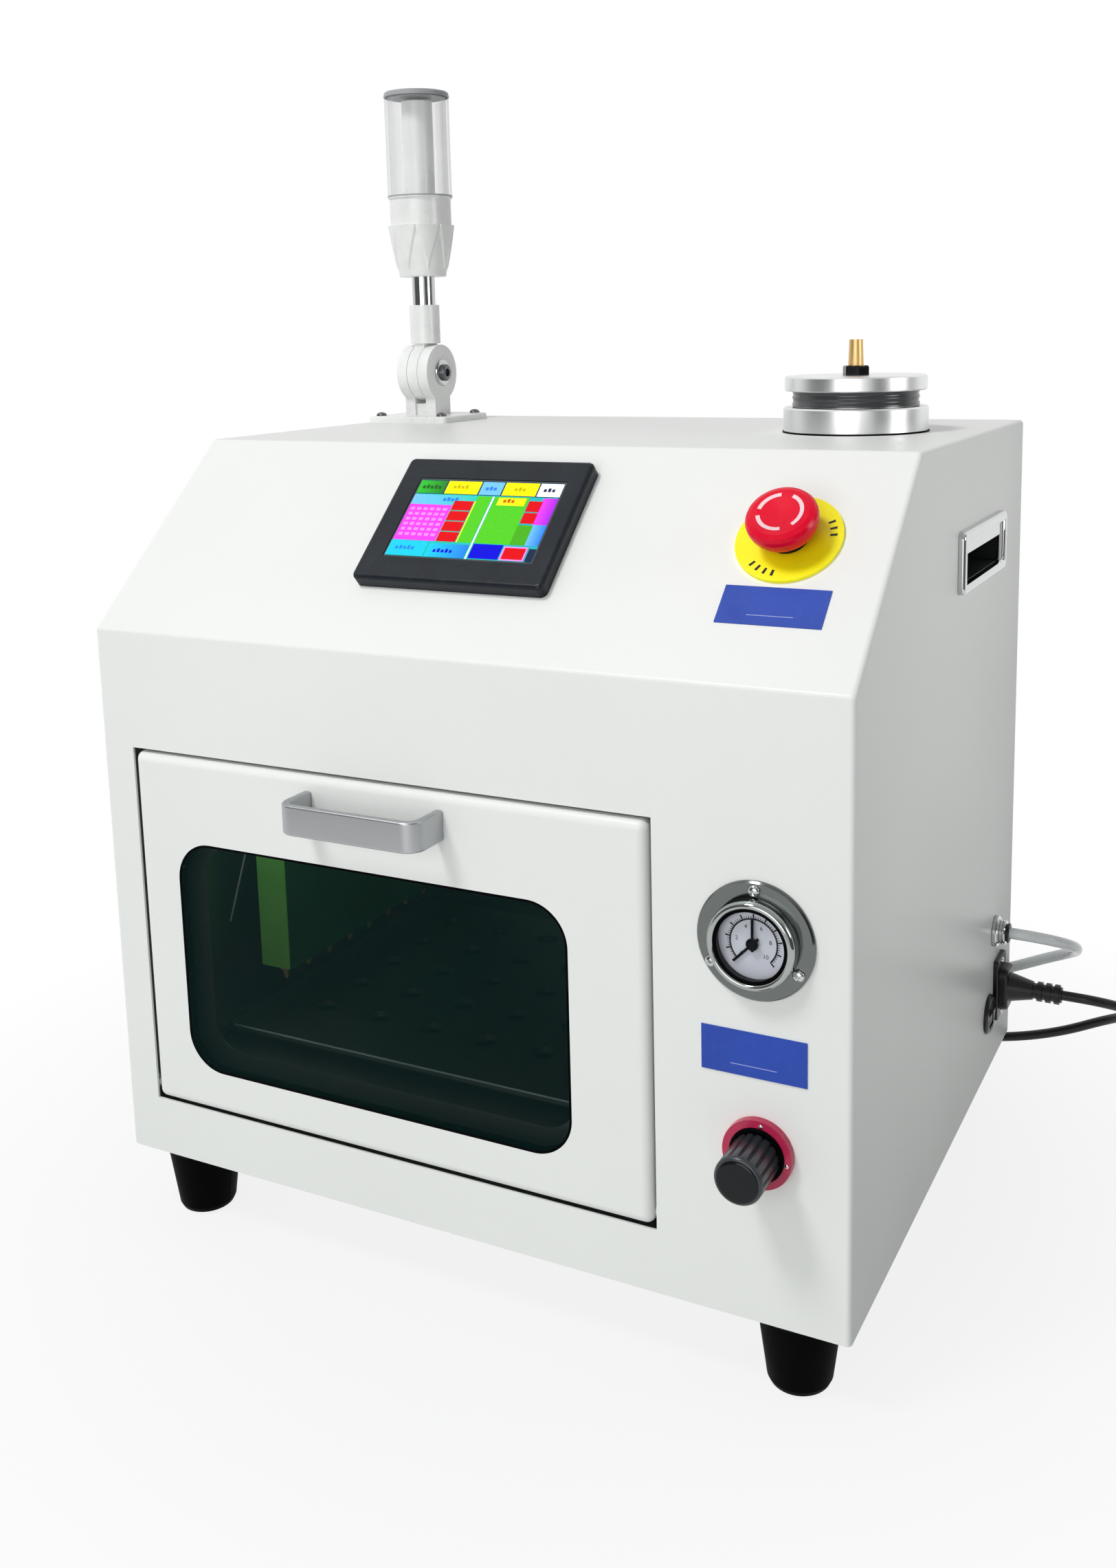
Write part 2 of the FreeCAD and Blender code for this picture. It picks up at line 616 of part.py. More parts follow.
def services():
    """The air fitting, power inlet with its connector, and the rocker switch on the right side."""
    at = (cab_w, air_y, air_z)
    barrel_out = air_out - 2.5
    stages = [rod(8.5, 30 + barrel_out, (0, 0, -30)), rod(11, 3.2), rod(6.8, 2.5, (0, 0, barrel_out))]
    node("air_fitting", cut(fuse(*stages), rod(tube_r + slack, 30, (0, 0, -4))), at, RIGHT)

    at = (cab_w, inlet_y, inlet_z)
    shell = fuse(rounded((28, 45, 3.5), 3, 1), slab((22, 30, 20), (0, 0, -20)))
    node("power_inlet", cut(shell, slab((17, 24.5, 20), (0, 0, -13.5))), at, RIGHT)
    relief = [ring(cord_r + 0.5, cord_r + 3.5, z, z + 3.5) for z in (29, 35, 41)]
    relief.append(rod(cord_r + 2, 21, (0, 0, 25)))
    nose = slab((16.4, 24, 16), (0, 0, -12))
    grip = [rounded((22, 31, 6), 6, 2, (0, 0, 3.6)), cone(10.5, cord_r + 3, 17, (0, 0, 9))]
    node("power_connector", fuse(nose, *grip, *relief), at, RIGHT)

    at = (cab_w, switch_y, switch_z)
    axle_in, drum, valley, tilt = 2, 8.5, 4.5, 12
    barrel = turned([(0, -22), (11.5, -22), (11.5, 0), (14, 0), (14, 1.5), (12.5, 2.8), (0, 2.8)])
    well = slab((12.6, 18, 30), (0, 0, -12))
    axle_way = rod(1.2 + slack, 18, (-9, 0, -axle_in), "x")
    node("power_switch_bezel", cut(barrel, well, axle_way), at, RIGHT)
    rise = valley + 20 * math.tan(math.radians(tilt))
    notch = prism([(0, valley), (20, rise), (20, 30), (-20, 30), (-20, rise)], 30, "YZ_Plane")[0]
    paddle = cut(rod(drum, 12, (-6, 0, 0), "x"), place(notch, (-15, 0, 0)))
    rocker = fuse(paddle, rod(1.2, 16, (-8, 0, 0), "x"))
    pressed = RIGHT.multiply(Rotation(Vector(1, 0, 0), tilt))
    node("power_rocker", rocker, (cab_w - axle_in, switch_y, switch_z), pressed)


def tower():
    """The folding signal lamp on the roof."""
    at = on_roof(tower_x, tower_y)
    plate = rounded((TOWER_W, TOWER_D, TOWER_T), 4, 2)
    ways = [rod(2.05, 20, (x, y, -5)) for x, y in TOWER_SCREWS]
    ways.append(rod(5, 20, (0, 15, -5)))
    cheeks = []
    for x in (-14, 5):
        cheeks += [rod(knuckle_r, 9, (x, 0, pivot_h), "x"), box((x, -11, 1), (x + 9, 11, pivot_h))]
    cheeks.append(box((-12, -9, 1), (12, 9, 14)))
    bolt_way = rod(4 + slack, 60, (-30, 0, pivot_h), "x")
    node("tower_foot", cut(fuse(plate, *cheeks), *ways, bolt_way), at)
    bolt = [rod(r, long, (x, 0, pivot_h), "x") for r, long, x in ((4, 32, -17), (6.5, 5, 14), (6.5, 4, -18))]
    node("tower_pivot_bolt", fuse(*bolt), at)

    tongue = rod(knuckle_r, 9.4, (-4.7, 0, pivot_h), "x")
    neck = box((-4.7, -10, pivot_h), (4.7, 10, pivot_h + knuckle_r + 3))
    socket = rod(pole_r + 2.8, 30, (0, 0, pivot_h + knuckle_r + 1))
    pole_way = rod(pole_r + slack, 60, (0, 0, pivot_h + 26))
    node("tower_arm", cut(fuse(tongue, neck, socket), pole_way, rod(4.1, 40, (-20, 0, pivot_h), "x")), at)
    node("tower_pole", rod(pole_r, lamp_z + 8 - pivot_h - 26, (0, 0, pivot_h + 26)), at)
    skirt = turned([
        (0, lamp_z), (lamp_r - 7, lamp_z), (lamp_r - 0.6, lamp_z + 38), (lamp_r - 1.2, lamp_z + 39),
        (lamp_r - 1.2, lens_z - 1.5), (lamp_r, lens_z - 1), (lamp_r, lens_z), (0, lens_z),
    ])
    node("tower_lamp_base", cut(skirt, rod(pole_r + slack, 20, (0, 0, lamp_z - 12))), at)
    node("tower_lens", ring(lamp_r - 2.5, lamp_r, lens_z, lens_top), at)
    node("tower_light_core", rod(12, lens_top - lens_z - 4, (0, 0, lens_z)), at)
    cap = turned([
        (0, lens_top - 1.5), (lamp_r - 2.6, lens_top - 1.5), (lamp_r - 2.6, lens_top), (lamp_r, lens_top),
        (lamp_r, lens_top + 2), (lamp_r - 1, lens_top + 3), (0, lens_top + 3.4),
    ])
    node("tower_cap", cap, at)


def filler():
    """The water filler on the roof: collar, lift-off cap, breather, and the tank below."""
    at = on_roof(filler_x, filler_y)
    collar = turned([
        (filler_bore, 0), (collar_r, 0), (collar_r, collar_h - 1), (collar_r - 1, collar_h),
        (filler_bore, collar_h),
    ])
    node("filler_collar", collar, at)
    seat, top = collar_h + 0.3, 36.5
    cap = turned([
        (0, 6), (filler_bore - 1.5, 6), (filler_bore - 0.5, 7), (filler_bore - 0.5, seat),
        (collar_r - 6.5, seat),
        (collar_r - 6.5, 19.4), (collar_r - 8, 20), (collar_r - 8, 21.2), (collar_r - 6.5, 21.8),
        (collar_r - 6.5, 23.4), (collar_r - 8, 24), (collar_r - 8, 25.2), (collar_r - 6.5, 25.8),
        (collar_r - 6.5, 27), (collar_r - 1.7, 27), (collar_r - 1, 27.7), (collar_r - 1, top - 1),
        (collar_r - 2, top), (0, top),
    ])
    node("filler_cap", cap, at)
    node("filler_breather", fuse(rod(7.2, 6, (0, 0, top)), cone(5, 4.4, 17, (0, 0, top + 6))), at)
    neck_r, tank_top = filler_bore - 1, -32
    outer = fuse(slab((100, 130, 108), (0, 0, tank_top - 108)), rod(neck_r, -tank_top, (0, 0, tank_top)))
    inner = fuse(slab((96, 126, 104), (0, 0, tank_top - 106)), rod(neck_r - 2, 60, (0, 0, tank_top - 10)))
    node("water_tank", cut(outer, inner), at)


def spray_gear():
    """Guide rails, lead screw and motor, the spray carriage with its nozzles, and the tray."""
    screw_y = (rail_y0 + rail_y1) / 2
    span = mouth_x1 - mouth_x0
    node("guide_rails", group(*[rod(rail_r, span, (mouth_x0, y, rail_z), "x") for y in (rail_y0, rail_y1)]))
    motor_x = mouth_x1 + wall
    motor = box((motor_x, screw_y - 21, rail_z - 21), (motor_x + 42, screw_y + 21, rail_z + 21))
    node("drive_motor", cut(motor, rod(screw_r + slack, 24, (motor_x - 12, screw_y, rail_z), "x")))
    node("lead_screw", rod(screw_r, span + wall + 10, (mouth_x0 + 1, screw_y, rail_z), "x"))

    half, bar = 24, 11.75
    block = box((carriage_x - half, 90, rail_z - 26), (carriage_x + half, 270, rail_z + 15))
    rail_ways = [rod(rail_r + 2 * slack, 120, (carriage_x - 60, y, rail_z), "x") for y in (rail_y0, rail_y1)]
    screw_way = rod(screw_r + 2 * slack, 120, (carriage_x - 60, screw_y, rail_z), "x")
    beam = box((carriage_x - bar, 60, spray_z), (carriage_x + bar, 292, rail_z - 26))
    node("spray_carriage", cut(fuse(block, beam), *rail_ways, screw_way))
    jets = [
        fuse(rod(4.5, 4, (carriage_x, y, spray_z - 4)), cone(1.5, 3.2, 7, (carriage_x, y, spray_z - 11)))
        for y in range(70, 290, 24)
    ]
    node("spray_nozzles", group(*jets))

    lip = 10
    tray = box((mouth_x0 + lip, tray_y, tray_z), (mouth_x1 - lip, 280, tray_z + 4))
    pockets = [
        rod(8, 20, (mouth_x0 + 55 + 42 * i, 85 + 40 * j, tray_z - 8))
        for i in range(6)
        for j in range(5)
    ]
    node("nozzle_tray", cut(tray, *pockets))
    node("power_supply", box((378, 110, wall), (463, 280, wall + 45)))


# Routes of the free air tube and power cord, from the right side round the rear corner to their coils
AIR_ROUTE = [
    (493, 343, 101), (518.2, 343, 101), (535.8, 353.2, 96), (546, 370.8, 87), (546, 391.2, 76),
    (535.8, 408.8, 65), (518.2, 419, 54), (490, 418.5, 41), (460, 418, 30), (430, 417, 21.4), (400, 416, 12),
    (372, 415, 2.5), (346, 414.5, -8), (322, 414, -16), (298, 414, -19.5),
]
CORD_ROUTE = [
    (541, 356, 55), (560, 356, 55), (576, 365.2, 50), (585, 381, 41), (585, 399, 30.5), (576, 414.8, 20),
    (560, 424, 9.5), (535, 424, -3), (510, 423.5, -12), (486, 423, -18), (462, 422.5, -21.5),
    (439, 422, -23), (415, 422, -23),
]
AIR_COIL = dict(centre=(298, 463), radius=45, wide=16, tall=32)
CORD_COIL = dict(centre=(415, 466.5), radius=41, wide=14, tall=28)


def swept(route, radius):
    """A round tube along straight runs joined by the largest tangent arcs that the runs allow."""
    points = [Vector(*p) for p in route]
    edges, start, radii = [], points[0], []
    for before, at, after in zip(points, points[1:], points[2:]):
        into, out = (at - before), (after - at)
        half_turn = into.getAngle(out) / 2
        trim = 0.45 * min(into.Length, out.Length)
        radii.append(trim / math.tan(half_turn))
        into.normalize()
        out.normalize()
        first, last = at - into * trim, at + out * trim
        toward = (out - into).normalize()
        middle = at + toward * (radii[-1] / math.cos(half_turn) - radii[-1])
        edges += [Part.LineSegment(start, first).toShape(), Part.Arc(first, middle, last).toShape()]
        start = last
    edges.append(Part.LineSegment(start, points[-1]).toShape())
    path = Part.Wire(edges)
    section = Part.Wire([Part.Circle(points[0], points[1] - points[0], radius).toShape()])
    tube = path.makePipeShell([section], True, False)
    expected = math.pi * radius * radius * path.Length
    share = tube.Volume / expected
    print(f"route {path.Length:.0f} mm, least radius {min(radii):.0f} mm, volume {share:.3f} of it")
    return tube


def loose_piece(label, shape):
    piece = doc.addObject("Part::Feature", "route")
    piece.Shape = shape
    node(label, piece)


def coil(label, centre, radius, wide, tall):
    """The outer shape of a neat round coil on the floor."""
    body = turned([
        (radius - wide / 2, 0), (radius + wide / 2, 0), (radius + wide / 2, tall), (radius - wide / 2, tall),
    ])
    node(label, body, (*centre, -foot_h))


def cords():
    """The free air tube, the power cord and its plug."""
    loose_piece("air_tube", swept(AIR_ROUTE, tube_r.value))
    coil("air_tube_coil", **AIR_COIL)
    loose_piece("power_cord", swept(CORD_ROUTE, cord_r.value))
    coil("power_cord_coil", **CORD_COIL)
    x, y = CORD_COIL["centre"]
    inner_turn = CORD_COIL["radius"] - cord_r
    shell = rounded((26, 22, 38), 5, 3)
    pins = [rod(2.4, 19, (px, 0, 38)) for px in (-9.5, 9.5)]
    lying = Rotation(Vector(0, 1, 0), Vector(0, 0, 1), Vector(1, 0, 0), "XYZ")
    node("mains_plug", fuse(shell, *pins), (x - 5, y + inner_turn, CORD_COIL["tall"] + 11 - foot_h), lying)


def write():
    """Checks every piece and writes each one to a file of its own."""
    doc.recompute()
    failed = [o.Name for o in doc.Objects if {"Invalid", "Error"} & set(o.State)]
    failed += [n for n, o in NODES.items() if o.Shape.isNull() or not o.Shape.isValid() or not o.Shape.Solids]
    if failed:
        raise RuntimeError(f"pieces that failed: {failed}")
    os.makedirs("parts", exist_ok=True)
    for label, obj in NODES.items():
        obj.Shape.exportStep(f"parts/{label}.step")
    print(len(NODES), "pieces")


for build in (
    cabinet, chamber, door, control_slope, gauge, regulator, pulls, services, tower, filler, spray_gear,
    cords, write,
):
    build()
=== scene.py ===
"""Dresses the bench-top nozzle cleaner: finishes, printed faces, small hardware, cords, studio and camera."""

import json
import logging
import math
from collections.abc import Iterable, Sequence
from dataclasses import dataclass, field
from enum import Enum
from functools import cache

import bmesh
import bpy
from mathutils import Matrix, Vector


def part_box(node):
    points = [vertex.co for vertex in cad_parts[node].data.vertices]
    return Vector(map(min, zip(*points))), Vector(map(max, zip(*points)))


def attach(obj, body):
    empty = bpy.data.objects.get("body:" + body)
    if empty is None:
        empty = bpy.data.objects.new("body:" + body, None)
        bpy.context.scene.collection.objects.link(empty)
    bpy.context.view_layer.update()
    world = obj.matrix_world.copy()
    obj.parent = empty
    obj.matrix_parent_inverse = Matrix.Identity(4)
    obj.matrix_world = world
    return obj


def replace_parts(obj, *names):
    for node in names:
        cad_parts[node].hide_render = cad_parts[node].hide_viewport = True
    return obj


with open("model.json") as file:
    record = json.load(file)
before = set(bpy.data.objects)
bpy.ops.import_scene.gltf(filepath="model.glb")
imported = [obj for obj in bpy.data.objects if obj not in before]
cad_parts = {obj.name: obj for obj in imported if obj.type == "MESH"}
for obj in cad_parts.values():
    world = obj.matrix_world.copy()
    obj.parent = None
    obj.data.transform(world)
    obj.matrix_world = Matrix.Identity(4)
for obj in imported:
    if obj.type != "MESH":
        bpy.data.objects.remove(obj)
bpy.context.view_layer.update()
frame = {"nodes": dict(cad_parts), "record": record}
CORNER = Vector(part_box("cabinet_shell")[0])
SLOTS = {m["slot"] for m in frame["record"]["materials"]}
LOG = logging.getLogger("nozzle_cleaner")
MM = 0.001
QUARTER, TURN = math.pi / 2, 2 * math.pi

Color = Point = tuple[float, float, float]
Spot = tuple[float, float]
Profile = tuple[Spot, ...]
Tint = tuple[float, float, float, float]
BMesh, BMVert = bmesh.types.BMesh, bmesh.types.BMVert
Material, Object, Socket = bpy.types.Material, bpy.types.Object, bpy.types.NodeSocket


class Body(str, Enum):
    """The rigid bodies that pieces ride on."""

    CABINET = "cabinet"
    DOOR = "door"
    TOWER = "tower"
    STOP_BUTTON = "estop_button"
    KNOB = "knob"
    CAP = "cap"
    CARRIAGE = "carriage"
    TRAY = "tray"


class Panel(Enum):
    """The cabinet faces that pieces are laid out on."""

    FRONT = "front"
    SLOPE = "slope"
    RIGHT = "right"
    REAR = "rear"
    ROOF = "roof"


# Shader expressions


@dataclass(frozen=True)
class Signal:
    """A node socket that takes part in arithmetic."""

    shader: "Shader"
    socket: Socket

    def _math(self, operation: str, first: object, second: object) -> "Signal":
        """Adds one Math node."""
        node = self.shader.node("ShaderNodeMath", {"operation": operation}, {0: first, 1: second})
        return Signal(self.shader, node.outputs[0])

    def __add__(self, other: object) -> "Signal":
        """Sum of two values."""
        return self._math("ADD", self, other)

    def __sub__(self, other: object) -> "Signal":
        """Difference of two values."""
        return self._math("SUBTRACT", self, other)

    def __rsub__(self, other: object) -> "Signal":
        """Difference with the value on the right."""
        return self._math("SUBTRACT", other, self)

    def __mul__(self, other: object) -> "Signal":
        """Product of two values."""
        return self._math("MULTIPLY", self, other)

    __radd__, __rmul__ = __add__, __mul__


class Shader:
    """The nodes of a new material or world, with helpers for them."""

    def __init__(self, block: bpy.types.ID) -> None:
        """Starts on the surface node that the block comes with.

        Args:
            block: A new material or world.
        """
        block.use_nodes = True
        self.tree = block.node_tree
        self.surface = next(n for n in self.tree.nodes if n.type in ("BSDF_PRINCIPLED", "BACKGROUND"))

    def node(self, kind: str, settings: dict | None = None, inputs: dict | None = None) -> bpy.types.Node:
        """Adds a node.

        Args:
            kind: The node's type.
            settings: Properties that are set first.
            inputs: Values or links of its sockets, by name or number.

        Returns:
            The new node.
        """
        made = self.tree.nodes.new(kind)
        for key, value in (settings or {}).items():
            setattr(made, key, value)
        for key, value in (inputs or {}).items():
            self.feed(made.inputs[key], value)
        return made

    def feed(self, socket: Socket, value: object) -> None:
        """Links a signal to a socket, or sets a plain value on it.

        Args:
            socket: The input.
            value: A signal, another socket or a plain value.
        """
        source = value.socket if isinstance(value, Signal) else value
        if isinstance(source, Socket):
            self.tree.links.new(source, socket)
        else:
            socket.default_value = source

    def set(self, **inputs: object) -> None:
        """Sets or links inputs of the surface, with underscores for the spaces in their names."""
        for key, value in inputs.items():
            self.feed(self.surface.inputs[key.replace("_", " ")], value)

    def place(self, stretch: Point = (1.0, 1.0, 1.0)) -> Socket:
        """Object coordinates, stretched along each axis."""
        spot = self.node("ShaderNodeTexCoord").outputs["Object"]
        return self.node("ShaderNodeMapping", {}, {"Vector": spot, "Scale": stretch}).outputs[0]

    def noise(self, scale: float, detail: float = 2.0, stretch: Point = (1.0, 1.0, 1.0)) -> Signal:
        """Soft noise between 0 and 1, by repeats to the metre, octaves and stretch along each axis."""
        inputs = {"Vector": self.place(stretch), "Scale": scale, "Detail": detail}
        return Signal(self, self.node("ShaderNodeTexNoise", {}, inputs).outputs[0])

    def spread(self, value: Signal, low: float, high: float, start: float = 0.3, end: float = 0.7) -> Signal:
        """Maps a value from start..end to low..high, held at both ends."""
        made = self.node("ShaderNodeMapRange", {}, {0: value, 1: start, 2: end, 3: low, 4: high})
        return Signal(self, made.outputs[0])

    def blend(self, share: object, first: object, second: object) -> Socket:
        """Mixes two colours, each a value or a socket, by the share of the second."""
        colors = {0: share, 6: first, 7: second}
        return self.node("ShaderNodeMix", {"data_type": "RGBA"}, colors).outputs[2]

    def tint(self, mask: Signal, color: Color, dark: float, light: float) -> Socket:
        """A colour that runs from a darker to a lighter shade of itself with a mask."""
        return self.blend(self.spread(mask, 0.0, 1.0), shade(color, dark), shade(color, light))

    def bump(self, height: Signal, strength: float, distance: float) -> None:
        """Raises the surface by a height value."""
        made = self.node("ShaderNodeBump", {}, {"Strength": strength, "Distance": distance, "Height": height})
        self.set(Normal=made.outputs[0])

    def rays(self, *kinds: str) -> list[Signal]:
        """One where the ray that looks at the surface is of a kind, for each kind."""
        paths = self.node("ShaderNodeLightPath").outputs
        return [Signal(self, paths[f"Is {kind} Ray"]) for kind in kinds]


def shade(color: Color, by: float = 1.0, more: float = 0.0) -> Tint:
    """A colour made lighter or darker by a factor and raised by a step, with full cover."""
    return (*(min(1.0, c * by + more) for c in color), 1.0)


# Finishes


@dataclass(frozen=True)
class Finish:
    """A named finish of one main colour."""

    name: str
    color: Color

    def material(self) -> Material:
        """Builds the finish.

        Returns:
            The material.
        """
        made = bpy.data.materials.new(self.name)
        self.paint(Shader(made))
        return made

    def paint(self, s: Shader) -> None:
        """Sets the surface. Each kind of finish has its own."""
        raise NotImplementedError


@dataclass(frozen=True)
class PowderCoat(Finish):
    """Baked powder paint with a faint orange peel and a little soil."""

    roughness: float = 0.38
    peel: float = 520.0
    soil: float = 0.035

    def paint(self, s: Shader) -> None:
        """Sets the paint.

        Args:
            s: The material's shader.
        """
        cloud = s.noise(5.0, 3.0)
        soil = s.spread(s.noise(38.0, 5.0), 0.0, self.soil, 0.56, 0.8)
        s.set(Base_Color=s.blend(soil, s.tint(cloud, self.color, 0.985, 1.012), shade(self.color, 0.72)))
        s.set(Roughness=s.spread(cloud, self.roughness - 0.05, self.roughness + 0.07))
        s.set(Specular_IOR_Level=0.32)
        s.bump(s.noise(self.peel, 1.0), 0.05, 0.0006)


@dataclass(frozen=True)
class BrushedMetal(Finish):
    """Metal with fine parallel grain along one axis."""

    roughness: float = 0.32
    grain: Point = (6.0, 900.0, 900.0)
    depth: float = 0.12

    def paint(self, s: Shader) -> None:
        """Sets the metal.

        Args:
            s: The material's shader.
        """
        streak, cloud = s.noise(1.0, 4.0, self.grain), s.noise(14.0, 3.0)
        s.set(Metallic=1.0, Base_Color=s.tint(streak, self.color, 0.95, 1.03))
        worn = streak * 0.4 + cloud * 0.6
        s.set(Roughness=s.spread(worn, self.roughness - 0.05, self.roughness + 0.07))
        s.bump(streak, self.depth, 0.0002)


@dataclass(frozen=True)
class TurnedMetal(Finish):
    """Lathe-turned metal with fine rings stacked along its axis."""

    roughness: float = 0.26
    rings: float = 2600.0

    def paint(self, s: Shader) -> None:
        """Sets the metal.

        Args:
            s: The material's shader.
        """
        line, cloud = s.noise(1.0, 1.0, (2.0, 2.0, self.rings)), s.noise(18.0, 3.0)
        s.set(Metallic=1.0, Base_Color=s.tint(cloud, self.color, 0.93, 1.05))
        worn = line * 0.3 + cloud * 0.7
        s.set(Roughness=s.spread(worn, self.roughness - 0.03, self.roughness + 0.05))
        s.bump(line, 0.004, 0.0001)


@dataclass(frozen=True)
class PolishedMetal(Finish):
    """Plated or polished metal with wiped smears."""

    roughness: float = 0.09

    def paint(self, s: Shader) -> None:
        """Sets the plating.

        Args:
            s: The material's shader.
        """
        smear = s.noise(26.0, 5.0, (1.0, 1.0, 3.0))
        s.set(Metallic=1.0, Base_Color=s.tint(smear, self.color, 0.94, 1.0))
        s.set(Roughness=s.spread(smear, self.roughness, self.roughness + 0.12, 0.42, 0.78))
        s.bump(s.noise(180.0, 2.0), 0.03, 0.0003)


@dataclass(frozen=True)
class Moulding(Finish):
    """Moulded plastic or rubber with a spark-eroded texture and rubbed patches."""

    roughness: float = 0.45
    texture: float = 1400.0
    depth: float = 0.12
    coat: float = 0.0
    dust: float = 0.012
    gloss: float = 0.4

    def paint(self, s: Shader) -> None:
        """Sets the moulding.

        Args:
            s: The material's shader.
        """
        rub = s.noise(32.0, 4.0)
        dust = s.spread(s.noise(210.0, 3.0), 0.0, 0.8, 0.55, 0.85)
        pale = shade(self.color, more=self.dust)
        s.set(Base_Color=s.blend(dust, s.tint(rub, self.color, 0.92, 1.08), pale))
        s.set(Roughness=s.spread(rub, self.roughness - 0.08, self.roughness + 0.08))
        s.set(Coat_Weight=self.coat, Coat_Roughness=0.08, Specular_IOR_Level=self.gloss)
        s.bump(s.noise(self.texture, 2.0), self.depth, 0.0003)


@dataclass(frozen=True)
class Pane(Finish):
    """A see-through sheet: its cover rises toward grazing angles, as glass does."""

    cover: float
    edge: float = 0.5
    roughness: float = 0.03
    gloss: float = 0.5

    def paint(self, s: Shader) -> None:
        """Sets the sheet.

        Args:
            s: The material's shader.
        """
        wipe = s.noise(9.0, 5.0, (1.0, 1.0, 2.4))
        s.set(Base_Color=s.tint(wipe, self.color, 0.9, 1.1))
        s.set(Roughness=s.spread(wipe, self.roughness, self.roughness + 0.05, 0.45, 0.8))
        facing = Signal(s, s.node("ShaderNodeLayerWeight", {}, {"Blend": 0.35}).outputs["Facing"])
        cover = s.spread(facing * facing, self.cover, min(1.0, self.cover + self.edge), 0.0, 1.0)
        s.set(Alpha=cover + s.spread(wipe, -0.015, 0.015))
        s.set(IOR=1.49, Specular_IOR_Level=self.gloss)


@dataclass(frozen=True)
class Lit(Finish):
    """A face that shines with its own colour, read from the mesh where attribute names one."""

    strength: float
    attribute: str = ""
    roughness: float = 0.18

    def paint(self, s: Shader) -> None:
        """Sets the lit face.

        Args:
            s: The material's shader.
        """
        flicker = s.spread(s.noise(900.0, 1.0), 0.9, 1.0)
        color: object = shade(self.color)
        if self.attribute:
            color = s.node("ShaderNodeAttribute", {"attribute_name": self.attribute}).outputs["Color"]
        toned = s.blend(flicker, shade(self.color, 0.0), color)
        s.set(Base_Color=toned, Emission_Color=toned, Emission_Strength=self.strength)
        s.set(Roughness=self.roughness, Specular_IOR_Level=0.12)


